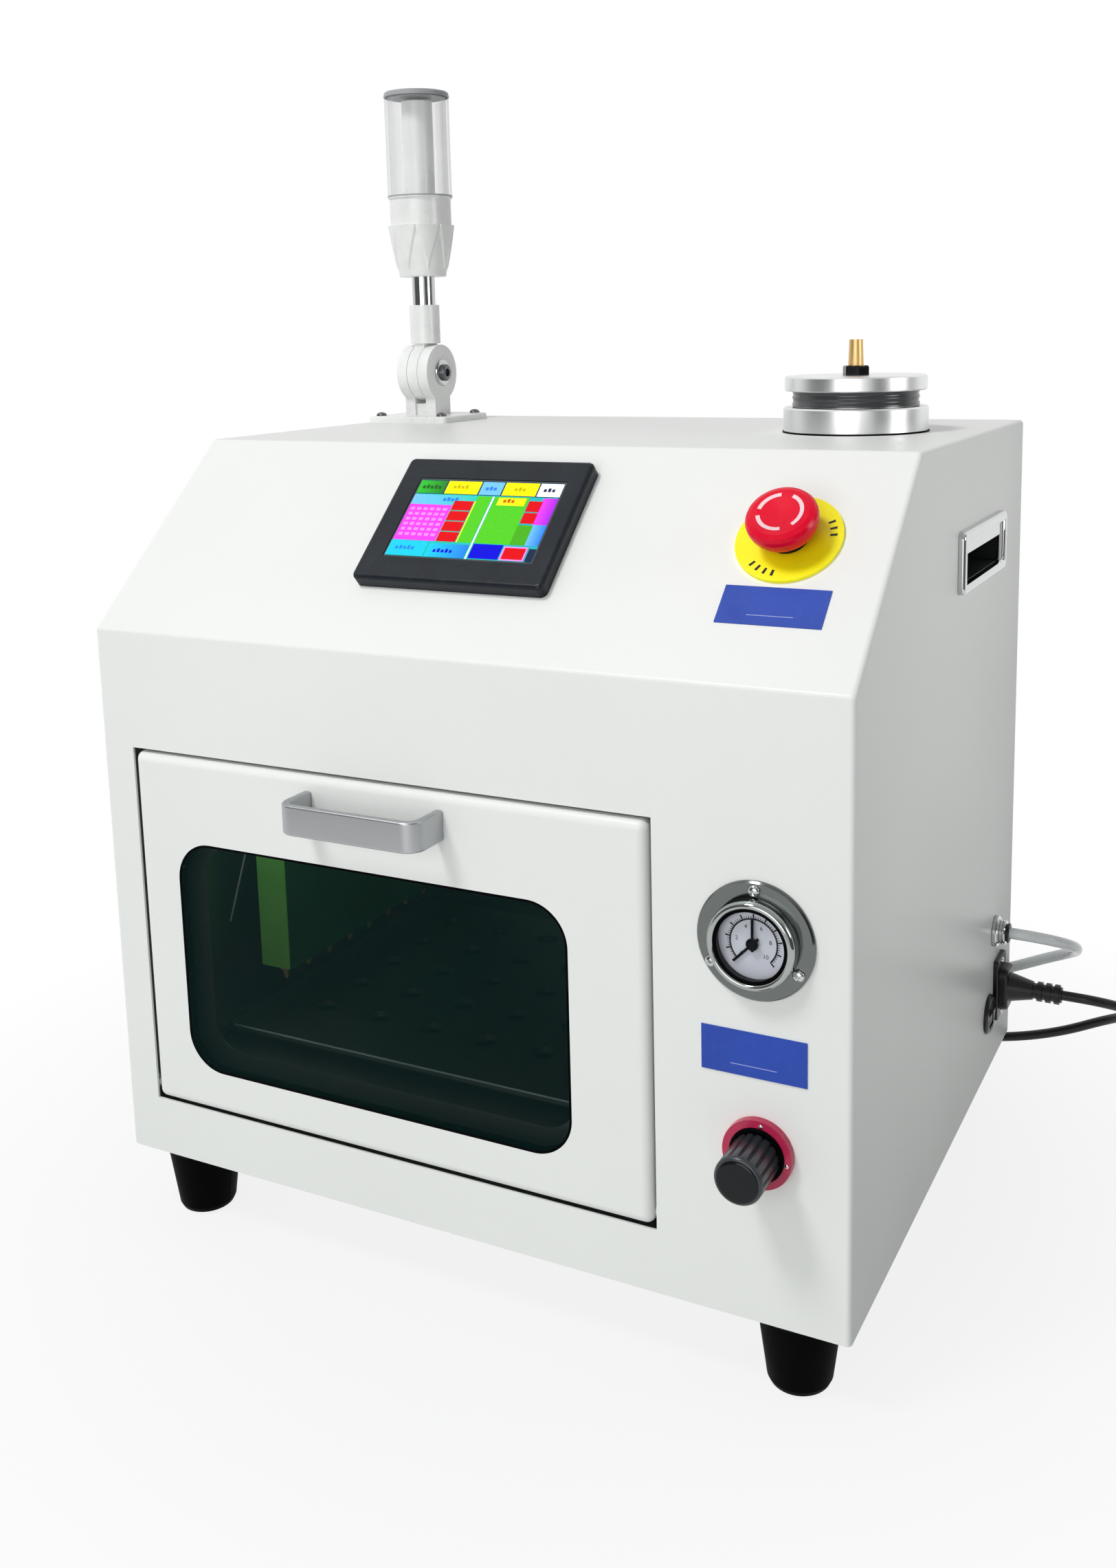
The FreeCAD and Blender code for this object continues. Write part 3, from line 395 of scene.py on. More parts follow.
# Each row gives its kind's fields in order.
# A Moulding has colour, roughness, texture, depth, coat, dust and gloss.
FINISHES = {
    f.name: f
    for f in (
        PowderCoat("white_paint", (0.83, 0.845, 0.825)),
        BrushedMetal("stainless", (0.6, 0.61, 0.61), 0.3),
        BrushedMetal("zinc", (0.55, 0.55, 0.53), 0.42, (300.0, 300.0, 300.0), 0.06),
        PolishedMetal("chrome", (0.56, 0.575, 0.575), 0.06),
        PolishedMetal("gauge_chrome", (0.16, 0.175, 0.17), 0.1),
        PolishedMetal("rim_chrome", (0.4, 0.43, 0.42), 0.07),
        PolishedMetal("pull_chrome", (0.58, 0.585, 0.59), 0.07),
        Moulding("cup_plastic", (0.022, 0.027, 0.027), 0.4, 900.0, 0.05, 0.0, 0.01, 0.3),
        BrushedMetal("satin_aluminium", (0.46, 0.47, 0.485), 0.34, (60.0, 3200.0, 3200.0), 0.008),
        Moulding("black_rubber", (0.0015, 0.0015, 0.002), 0.5, 700.0, 0.1, 0.0, 0.0015, 0.02),
        Moulding("black_plastic", (0.007, 0.007, 0.008), 0.3, 1100.0, 0.08, 0.0, 0.01, 0.35),
        # Black plastic lightened to grey-blue: partly painted sheen for the flutes' reflections.
        Moulding("knob_plastic", (0.034, 0.041, 0.047), 0.28, 1100.0, 0.06, 0.0, 0.008, 0.45),
        Moulding("gloss_black", (0.005, 0.006, 0.007), 0.14, 300.0, 0.02, 0.1, 0.003, 0.18),
        Moulding("slate_plastic", (0.01, 0.0135, 0.019), 0.34, 1600.0, 0.08, 0.0, 0.01, 0.22),
        Moulding("screen", (0.02, 0.035, 0.04), 0.12, 60.0, 0.0, 0.6),
        Pane("tinted_pane", (0.0003, 0.013, 0.012), 0.42, 0.45, 0.03, 0.08),
        Moulding("stop_red", (0.74, 0.0, 0.024), 0.28, 500.0, 0.02, 0.0, 0.01, 0.2),
        Moulding("stop_yellow", (0.96, 0.88, 0.004), 0.36, 500.0, 0.04, 0.1, 0.02, 0.3),
        Moulding("label_blue", (0.02, 0.065, 0.41), 0.4, 900.0, 0.05, 0.0, 0.02, 0.3),
        Moulding("dial_white", (0.71, 0.73, 0.82), 0.5, 600.0, 0.03),
        Pane("clear_glass", (0.05, 0.055, 0.06), 0.05, 0.35),
        Moulding("red_ring", (0.47, 0.018, 0.075), 0.3, 500.0, 0.03, 0.2, 0.02, 0.35),
        PolishedMetal("brass", (0.8, 0.55, 0.24), 0.42),
        Pane("clear_lens", (0.55, 0.57, 0.59), 0.03, 0.7, 0.05),
        # White facets whose cover grows toward grazing: partly painted reflection bands in the lens.
        Pane("lens_facets", (0.97, 0.97, 0.98), 0.02, 0.35, 0.08, 0.4),
        Moulding("frosted_core", (0.97, 0.975, 0.985), 0.3, 400.0, 0.02, 0.1, 0.0, 0.4),
        TurnedMetal("turned_metal", (0.78, 0.785, 0.79), 0.3),
        Moulding("white_plastic", (0.82, 0.83, 0.82), 0.34, 700.0, 0.05, 0.2),
        Moulding("grey_plastic", (0.36, 0.37, 0.38), 0.42, 700.0, 0.08),
        Moulding("tube_pu", (0.78, 0.81, 0.82), 0.24, 90.0, 0.02, 0.4),
        Moulding("cord_black", (0.006, 0.006, 0.0065), 0.36, 500.0, 0.08, 0.0, 0.008, 0.35),
        Moulding("tank_plastic", (0.7, 0.72, 0.71), 0.4, 400.0, 0.06),
        Moulding("carriage_metal", (0.05, 0.3, 0.09), 0.4, 900.0, 0.03, 0.0, 0.02, 0.3),
        # Lighter copy of carriage_metal: painted highlight for the carriage's lit front face.
        Moulding("carriage_plate", (0.3, 0.84, 0.15), 0.4, 900.0, 0.03, 0.0, 0.02, 0.3),
        # Pale colour of a painted highlight along the tray's front edge.
        Moulding("edge_tape", (0.62, 0.85, 0.8), 0.4, 900.0, 0.03),
        BrushedMetal("liner_metal", (0.36, 0.385, 0.38), 0.4),
        BrushedMetal("tray_metal", (0.42, 0.45, 0.44), 0.36),
        Lit("display", (1.0, 1.0, 1.0), 0.32, "tint"),
        Lit("chamber_light", (0.72, 1.0, 0.88), 13.0),
        Moulding("print_white", (0.86, 0.87, 0.86), 0.4, 800.0, 0.02),
        Moulding("print_pink", (0.88, 0.62, 0.66), 0.4, 800.0, 0.02),
        Moulding("print_blue", (0.3, 0.36, 0.68), 0.4, 800.0, 0.02),
        Moulding("print_black", (0.008, 0.008, 0.009), 0.45, 800.0, 0.02, 0.0, 0.01, 0.3),
        PolishedMetal("dark_screw", (0.16, 0.16, 0.17), 0.28),
        Moulding("dark_neck", (0.045, 0.047, 0.05), 0.26, 900.0, 0.02, 0.2, 0.01),
    )
}


@cache
def finish_of(name: str) -> Material:
    """The material of a finish, made on first use."""
    return FINISHES[name].material()


# Mesh helpers


def held(value: float) -> float:
    """A value held between 0 and 1."""
    return min(1.0, max(0.0, value))


def spot_at(*millimetres: float) -> Vector:
    """A point in metres, from millimetres off the cabinet's front lower left corner."""
    return CORNER + Vector(millimetres) * MM


@dataclass(frozen=True)
class Layout:
    """Maps millimetres on a cabinet face to the object's frame."""

    front_h: float = 351.0
    roof_h: float = 461.0
    slope_run: float = 121.0
    width: float = 495.0
    depth: float = 400.0

    def on(self, panel: Panel, across: float, up: float, out: float = 0.0) -> Matrix:
        """A frame on a panel.

        Args:
            panel: The face.
            across: Millimetres from the cabinet's left side, or from its front on the right side.
            up: Millimetres up the face, or back from the front on the roof.
            out: Millimetres out of it.

        Returns:
            The matrix whose z axis leaves the face.
        """
        rise = self.roof_h - self.front_h
        length = math.hypot(rise, self.slope_run)
        s, c = rise / length, self.slope_run / length
        x, y, z, at = {
            Panel.FRONT: ((1, 0, 0), (0, 0, 1), (0, -1, 0), (across, 0, up)),
            Panel.SLOPE: ((1, 0, 0), (0, c, s), (0, -s, c), (across, up * c, self.front_h + up * s)),
            Panel.RIGHT: ((0, 1, 0), (0, 0, 1), (1, 0, 0), (self.width, across, up)),
            Panel.REAR: ((-1, 0, 0), (0, 0, 1), (0, 1, 0), (across, self.depth, up)),
            Panel.ROOF: ((1, 0, 0), (0, 1, 0), (0, 0, 1), (across, up, self.roof_h)),
        }[panel]
        turn = Matrix((x, y, z)).transposed().to_4x4()
        return Matrix.Translation(spot_at(*(Vector(at) + Vector(z) * out))) @ turn

    def circle(self, panel: Panel, at: Spot, radius: float, degrees: Iterable[float],
               out: float) -> list[Matrix]:
        """Frames on a circle of a panel, one at each angle."""
        arms = [(radius * math.cos(a), radius * math.sin(a)) for a in map(math.radians, degrees)]
        return [self.on(panel, at[0] + dx, at[1] + dy, out) for dx, dy in arms]


LAYOUT = Layout()


def linked(obj: Object) -> Object:
    """An object put in the scene."""
    bpy.context.scene.collection.objects.link(obj)
    return obj


def finished(obj: Object, finish: str, body: Body = Body.CABINET) -> Object:
    """Links a new object, dresses it and puts it on its body.

    Args:
        obj: The object, not yet in the scene.
        finish: The finish that it takes.
        body: The body that it rides on.

    Returns:
        The same object.
    """
    linked(obj).data.materials.clear()
    obj.data.materials.append(finish_of(finish))
    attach(obj, body.value)
    finish in SLOTS
    LOG.info("piece %s on %s", obj.name, body.value)
    return obj


def smooth_data(mesh: BMesh, name: str, smooth: float) -> bpy.types.Mesh:
    """Turns a bmesh into mesh data and frees it.

    Args:
        mesh: The shape.
        name: The data's name.
        smooth: Edges flatter than this many degrees are shaded smooth.

    Returns:
        The mesh data.
    """
    data = bpy.data.meshes.new(name)
    mesh.to_mesh(data)
    mesh.free()
    data.shade_smooth()
    data.set_sharp_from_angle(angle=math.radians(smooth))
    return data


def piece(mesh: BMesh, name: str, finish: str, at: Matrix | None = None, body: Body = Body.CABINET,
          smooth: float = 40.0) -> Object:
    """A finished piece on a body, from a bmesh in millimetres in a panel's frame or the cabinet's."""
    moved(mesh, (at or Matrix.Translation(CORNER)) @ Matrix.Scale(MM, 4))
    return finished(bpy.data.objects.new(name, smooth_data(mesh, name, smooth)), finish, body)


def ring(mesh: BMesh, radii: Sequence[float], height: float) -> list[BMVert]:
    """Points round the axis at one height, one for each radius."""
    angles = [TURN * i / len(radii) for i in range(len(radii))]
    return [mesh.verts.new((r * math.cos(a), r * math.sin(a), height)) for r, a in zip(radii, angles)]


def round_box(mesh: BMesh, size: Spot, radius: float, height: float, steps: int) -> list[BMVert]:
    """Points round a rectangle with round corners, centred on the axis.

    Args:
        mesh: The mesh that takes the points.
        size: Width and height of the rectangle.
        radius: Corner radius.
        height: The points' z.
        steps: Segments to a corner.

    Returns:
        The points in order.
    """
    found = []
    for k, (sx, sy) in enumerate(((1, 1), (-1, 1), (-1, -1), (1, -1))):
        cx, cy = sx * (size[0] / 2 - radius), sy * (size[1] / 2 - radius)
        for a in (QUARTER * (k + i / steps) for i in range(steps + 1)):
            found.append(mesh.verts.new((cx + radius * math.cos(a), cy + radius * math.sin(a), height)))
    return found


def bridged(mesh: BMesh, rings: Sequence[Sequence[BMVert]], loop: bool = False,
            ends: bool = False) -> BMesh:
    """Joins rings of points by faces and turns the normals outwards.

    Args:
        mesh: The mesh that holds the points.
        rings: Rings of equal count, or of one point where a shape comes to its axis.
        loop: Whether the last ring joins the first.
        ends: Whether a face closes the first and the last ring.

    Returns:
        The same mesh.
    """
    for low, high in zip(rings, [*rings[1:], rings[0]] if loop else rings[1:]):
        count = max(len(low), len(high))
        for i in range(count):
            j = (i + 1) % count
            corners = (low[i % len(low)], low[j % len(low)], high[j % len(high)], high[i % len(high)])
            unique = list(dict.fromkeys(corners))
            if len(unique) > 2:
                mesh.faces.new(unique)
    for end in (rings[0][::-1], rings[-1]) if ends else ():
        mesh.faces.new(end)
    bmesh.ops.recalc_face_normals(mesh, faces=mesh.faces)
    return mesh


def lathe(profile: Sequence[Spot], steps: int = 64) -> BMesh:
    """A closed turned shape.

    Args:
        profile: Radius and height along the outline, from axis to axis or as a closed loop.
        steps: Faces round the axis.

    Returns:
        The mesh, with its normals outwards.
    """
    mesh = bmesh.new()
    rings = [ring(mesh, [radius] * (steps if radius > 1e-6 else 1), height) for radius, height in profile]
    return bridged(mesh, rings, loop=min(len(rings[0]), len(rings[-1])) > 1)


def tube(inner: float, outer: float, low: float, high: float) -> Profile:
    """The outline of a plain tube."""
    return ((inner, low), (outer, low), (outer, high), (inner, high))


@dataclass(frozen=True)
class Arc:
    """A thin arc on a turned face: radii, height at the axis, thickness each way and slope outward."""

    inner: float
    outer: float
    level: float
    thick: float
    rise: float = 0.0

    def mesh(self, start: float, end: float, steps: int = 24) -> BMesh:
        """The arc between two angles.

        Args:
            start: Start angle in degrees.
            end: End angle in degrees.
            steps: Segments along it.

        Returns:
            The mesh.
        """
        mesh = bmesh.new()
        rows = []
        sides = ((self.inner, -1), (self.outer, -1), (self.outer, 1), (self.inner, 1))
        for a in (math.radians(start + (end - start) * i / steps) for i in range(steps + 1)):
            spots = [(r, self.level + r * self.rise + way * self.thick) for r, way in sides]
            rows.append([mesh.verts.new((r * math.cos(a), r * math.sin(a), z)) for r, z in spots])
        return bridged(mesh, rows, ends=True)


def merged(*meshes: BMesh) -> BMesh:
    """Several meshes as one.

    Args:
        meshes: The meshes, which are freed.

    Returns:
        The new mesh.
    """
    whole = bmesh.new()
    for mesh in meshes:
        data = bpy.data.meshes.new("part")
        mesh.to_mesh(data)
        mesh.free()
        whole.from_mesh(data)
        bpy.data.meshes.remove(data)
    return whole


def moved(mesh: BMesh, at: Matrix) -> BMesh:
    """A mesh put through a matrix."""
    bmesh.ops.transform(mesh, matrix=at, verts=mesh.verts)
    return mesh


def evaluated(obj: Object) -> bpy.types.Mesh:
    """The mesh that an object comes to after its modifiers."""
    return bpy.data.meshes.new_from_object(obj.evaluated_get(bpy.context.evaluated_depsgraph_get()))


def softened(node: str, finish: str, body: Body, width: float) -> None:
    """Puts a copy with rounded edges in the place of a CAD node.

    Args:
        node: The CAD node.
        finish: The copy's finish.
        body: The body that it rides on.
        width: Width of the rounding in millimetres.
    """
    weld, level, crease = 2e-5, math.radians(1.0), math.radians(35)
    mesh = bmesh.new()
    mesh.from_mesh(frame["nodes"][node].data)
    mesh.transform(frame["nodes"][node].matrix_world)
    bmesh.ops.remove_doubles(mesh, verts=mesh.verts, dist=weld)
    bmesh.ops.dissolve_limit(mesh, angle_limit=level, verts=mesh.verts, edges=mesh.edges)
    sharp = [e for e in mesh.edges if len(e.link_faces) == 2 and e.calc_face_angle(0.0) > crease]
    bmesh.ops.bevel(mesh, geom=sharp, offset=width * MM, segments=3, profile=0.5, affect="EDGES",
                    clamp_overlap=True)
    data = bpy.data.meshes.new(node + "_soft")
    mesh.to_mesh(data)
    flat = [sum((f.normal * f.calc_area() for f in v.link_faces), Vector()).normalized() for v in mesh.verts]
    mesh.free()
    data.shade_smooth()
    data.normals_split_custom_set_from_vertices(flat)
    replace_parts(finished(bpy.data.objects.new(node + "_soft", data), finish, body), node)


@dataclass(frozen=True)
class Turned:
    """A turned trim piece: its outline is radius and height in millimetres."""

    name: str
    finish: str
    outline: Profile
    steps: int = 72
    body: Body = Body.CABINET
    smooth: float = 40.0

    def build(self, at: Matrix) -> Object:
        """Turns the outline about a frame's z axis."""
        return piece(lathe(self.outline, self.steps), self.name, self.finish, at, self.body, self.smooth)


@dataclass(frozen=True)
class Sheet:
    """A flat trim piece with round corners: centre on a panel, size, heights over it and corner radius."""

    name: str
    finish: str
    panel: Panel
    at: Spot
    size: Spot
    span: Spot
    radius: float
    steps: int = 2
    body: Body = Body.CABINET

    def build(self) -> None:
        """Lays the sheet on its panel."""
        mesh = bmesh.new()
        rings = [round_box(mesh, self.size, self.radius, z, self.steps) for z in self.span]
        place = LAYOUT.on(self.panel, *self.at)
        piece(bridged(mesh, rings, ends=True), self.name, self.finish, place, self.body)


# Repeated hardware


@dataclass
class Repeater:
    """A Geometry Nodes tree that sets one shape on each point of a mesh, aimed along its attribute."""

    name: str
    tree: bpy.types.GeometryNodeTree = field(init=False)

    def __post_init__(self) -> None:
        """Builds the tree with its named inputs."""
        tree = bpy.data.node_groups.new(self.name, "GeometryNodeTree")
        kinds = {"Points": "Geometry", "Shape": "Object", "Size": "Float", "Finish": "Material"}
        for label, kind in kinds.items():
            tree.interface.new_socket(label, in_out="INPUT", socket_type="NodeSocket" + kind)
        tree.interface.new_socket("Pieces", in_out="OUTPUT", socket_type="NodeSocketGeometry")
        source, info, aim, turn, spread, real, dress, sink = map(tree.nodes.new, (
            "NodeGroupInput", "GeometryNodeObjectInfo", "GeometryNodeInputNamedAttribute",
            "FunctionNodeAlignRotationToVector", "GeometryNodeInstanceOnPoints",
            "GeometryNodeRealizeInstances", "GeometryNodeSetMaterial", "NodeGroupOutput",
        ))
        aim.data_type, turn.axis = "FLOAT_VECTOR", "Z"
        aim.inputs["Name"].default_value = "aim"
        for giver, output, taker, wanted in (
            (source, "Shape", info, "Object"), (aim, "Attribute", turn, "Vector"),
            (source, "Points", spread, "Points"), (info, "Geometry", spread, "Instance"),
            (turn, "Rotation", spread, "Rotation"), (source, "Size", spread, "Scale"),
            (spread, "Instances", real, "Geometry"), (real, "Geometry", dress, "Geometry"),
            (source, "Finish", dress, "Material"), (dress, "Geometry", sink, "Pieces"),
        ):
            tree.links.new(giver.outputs[output], taker.inputs[wanted])
        self.tree = tree

    def spread(self, shape: BMesh, frames: Iterable[Matrix], name: str, finish: str,
               size: float = 1.0) -> Object:
        """Repeats a shape at several frames of the cabinet.

        Args:
            shape: The shape in millimetres, standing on its z axis.
            frames: Where each copy goes, its z axis along the frame's.
            name: The piece's name.
            finish: Its finish.
            size: Scale of every copy.

        Returns:
            One plain mesh object with all the copies.
        """
        data = smooth_data(moved(shape, Matrix.Scale(MM, 4)), "template", 35)
        template = linked(bpy.data.objects.new("template", data))
        spots = list(frames)
        points = bpy.data.meshes.new("points")
        points.from_pydata([m.translation for m in spots], [], [])
        aims = points.attributes.new("aim", "FLOAT_VECTOR", "POINT")
        aims.data.foreach_set("vector", [v for m in spots for v in m.to_3x3() @ Vector((0, 0, 1))])
        holder = linked(bpy.data.objects.new("points", points))
        modifier = holder.modifiers.new("repeat", "NODES")
        modifier.node_group = self.tree
        keys = {s.name: s.identifier for s in self.tree.interface.items_tree if s.in_out == "INPUT"}
        for label, value in (("Shape", template), ("Size", size), ("Finish", finish_of(finish))):
            modifier[keys[label]] = value
        mesh = evaluated(holder)
        for obj in (holder, template):
            bpy.data.objects.remove(obj)
        mesh.name = name
        return finished(bpy.data.objects.new(name, mesh), finish)


REPEAT = Repeater("set_on_points")


def domed_head(radius: float, height: float, socket: float) -> BMesh:
    """A domed screw head with a round socket.

    Args:
        radius: Radius of the head.
        height: Height of the dome.
        socket: Radius of the socket.

    Returns:
        The mesh, standing on its z axis.
    """
    bottom, brim, share = 0.35 * height, 0.97 * height, 0.25
    angles = (0.55, 0.8, 1.05, 1.3, QUARTER)
    crown = [(radius * math.sin(t), height * (share + (1 - share) * math.cos(t))) for t in angles]
    return lathe([(0, bottom), (socket, bottom), (socket, brim), *crown, (radius, 0), (0, 0)], 30)


# Sub-assemblies


@dataclass(frozen=True)
class Cord:
    """A free cord with its strap, from the right side to a two-column coil behind the cabinet.

    It stands for the CAD nodes that it names. The coil is its centre and mid radius.
    """

    name: str
    finish: str
    nodes: tuple[str, ...]
    d: float
    length: float
    exit: Point
    far_end: str
    on_it: tuple[str, ...]
    coil: Point
    inner_turns: float
    tie_angle: float
    route: tuple[Point, ...]
    tail: tuple[Point, ...] = ()
    floor: float = -47.5
    rows: int = 3
    steps: int = 18

    def turns(self) -> list[Point]:
        """Points of the neat coil: down the outer column, then up the inner one.

        Returns:
            The points after the route's last.
        """
        x, y, radius = self.coil
        found = []
        low, top = self.floor + self.d / 2, self.floor + (self.rows + 0.5) * self.d
        for i in range(1, round(self.steps * (self.rows + self.inner_turns)) + 1):
            turn = i / self.steps
            r = radius + self.d / 2 - self.d * held((turn - self.rows + 0.5) / 0.5)
            z = max(top - self.d * turn, low) if turn <= self.rows else low + self.d * (turn - self.rows)
            a = -QUARTER - TURN * turn
            found.append((x + r * math.cos(a), y + r * math.sin(a), z))
        return found

    def line(self) -> Object:
        """The round cord along one smooth spline.

        Returns:
            The curve object.
        """
        points = [*self.route, *self.turns(), *self.tail]
        curve = bpy.data.curves.new(self.name, "CURVE")
        curve.dimensions, curve.bevel_depth, curve.bevel_resolution = "3D", self.d / 2 * MM, 5
        curve.use_fill_caps, curve.resolution_u = True, 6
        spline = curve.splines.new("NURBS")
        spline.points.add(len(points) - 1)
        for target, spot in zip(spline.points, points):
            target.co = (*spot_at(*spot), 1.0)
        spline.order_u, spline.use_endpoint_u = 3, True
        return finished(bpy.data.objects.new(self.name, curve), self.finish)

    def tie(self) -> Object:
        """The flat strap round the coil's bundle.

        Returns:
            The strap.
        """
        x, y, radius = self.coil
        tall = (self.rows + 1) * self.d
        mesh = bmesh.new()
        size, thick, half, bend = (2 * self.d + 2.4, tall + 1.6), 1.0, 3.0, 4.0
        rings = [
            round_box(mesh, (size[0] - 2 * inset, size[1] - 2 * inset), bend - inset, z, 5)
            for inset, z in ((0.0, -half), (0.0, half), (thick, half), (thick, -half))
        ]
        c, s = math.cos(self.tie_angle), math.sin(self.tie_angle)
        turn = Matrix(((c, 0, -s), (s, 0, c), (0, 1, 0))).to_4x4()
        spot = spot_at(x + radius * c, y + radius * s, self.floor + tall / 2 + 0.8)
        strap = bridged(mesh, rings, loop=True)
        return piece(strap, self.name + "_tie", "black_plastic", Matrix.Translation(spot) @ turn)

    def build(self) -> None:
        """Lays the cord and its strap."""
        line = self.line()
        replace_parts(line, *self.nodes)
        with_it = [*(frame["nodes"][node] for node in self.on_it), self.tie()]


AIR_LINE = Cord(
    "air_line", "tube_pu", ("air_tube", "air_tube_coil"), d=8.0, length=2.03, exit=(506, 343, 101),
    far_end="bare", on_it=(), coil=(298, 463, 45), inner_turns=2.9, tie_angle=0.6,
    route=(
        (493, 343, 101), (505, 343, 101), (518.2, 343, 101), (535.8, 353.2, 96), (546, 370.8, 87),
        (546, 391.2, 76), (535.8, 408.8, 65), (518.2, 419, 54), (490, 418.5, 41), (460, 418, 30),
        (430, 417, 21.4), (400, 416, 12), (372, 415, 2.5), (346, 414.5, -8), (322, 414, -16),
        (298, 414, -19.5),
    ),
)
POWER_LEAD = Cord(
    "power_lead", "cord_black", ("power_cord", "power_cord_coil"), d=7.0, length=1.68, exit=(541, 356, 55),
    far_end="plug", on_it=("mains_plug", "power_connector"), coil=(415, 466.5, 41), inner_turns=2.36,
    tie_angle=2.4, tail=((399, 504, -10), (411, 504, -8.5)),
    route=(
        (541, 356, 55), (550, 356, 55), (560, 356, 55), (576, 365.2, 50), (585, 381, 41), (585, 399, 30.5),
        (576, 414.8, 20), (560, 424, 9.5), (535, 424, -3), (510, 423.5, -12), (486, 423, -18),
        (462, 422.5, -21.5), (439, 422, -23), (415, 422, -23),
    ),
)


@dataclass
class Hardware:
    """Screw heads of gauge flange, lamp foot, rear panel and power inlet, and the regulator ring's pins."""

    gauge: Spot = (443, 217.5)
    gauge_pcd: float = 27.75
    tower: Spot = (39, 335)
    tower_pitch: Spot = (28, 25)
    inlet: Spot = (356, 55)
    inlet_pitch: float = 19.2
    knob: Spot = (444.5, 100.0)
    pin_pcd: float = 17.0
    edge: float = 12.0

    def build(self) -> None:
        """Sets every screw head and pin."""
        gauge = LAYOUT.circle(Panel.FRONT, self.gauge, self.gauge_pcd, (90, 210, 330), 2.5)
        pins = LAYOUT.circle(Panel.FRONT, self.knob, self.pin_pcd, (82, 352, 202), 4.45)
        (x, y), (dx, dy) = self.tower, self.tower_pitch
        tower = [LAYOUT.on(Panel.ROOF, x + i * dx, y + j * dy, 5.0) for i in (-1, 1) for j in (-1, 1)]
        wide, tall = LAYOUT.width, LAYOUT.roof_h
        rear = [
            LAYOUT.on(Panel.REAR, x, z) for x in (self.edge, wide / 2, wide - self.edge)
            for z in (self.edge, tall / 2, tall - self.edge) if (x, z) != (wide / 2, tall / 2)
        ]
        x, z = self.inlet
        inlet = [LAYOUT.on(Panel.RIGHT, x, z + k * self.inlet_pitch, 3.4) for k in (-1, 1)]
        heads = [
            REPEAT.spread(domed_head(*size), frames, name, finish) for name, finish, frames, size in (
                ("gauge_flange_screws", "chrome", gauge, (3.3, 2.6, 1.1)),
                ("lamp_foot_screws", "dark_screw", tower, (4.0, 2.8, 1.6)),
                ("rear_panel_screws", "zinc", rear, (3.6, 2.4, 1.3)),
                ("regulator_ring_pins", "chrome", pins, (1.2, 0.9, 0.4)),
                ("inlet_screws", "chrome", inlet, (2.2, 1.4, 0.8)),
            )
        ]
        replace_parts(heads[0], "cabinet_screws")


@dataclass(frozen=True)
class Block:
    """One block of the screen's picture, in shares of the screen, shaded from left to right."""

    x: float
    y: float
    wide: float
    tall: float
    left: Color
    right: Color | None = None


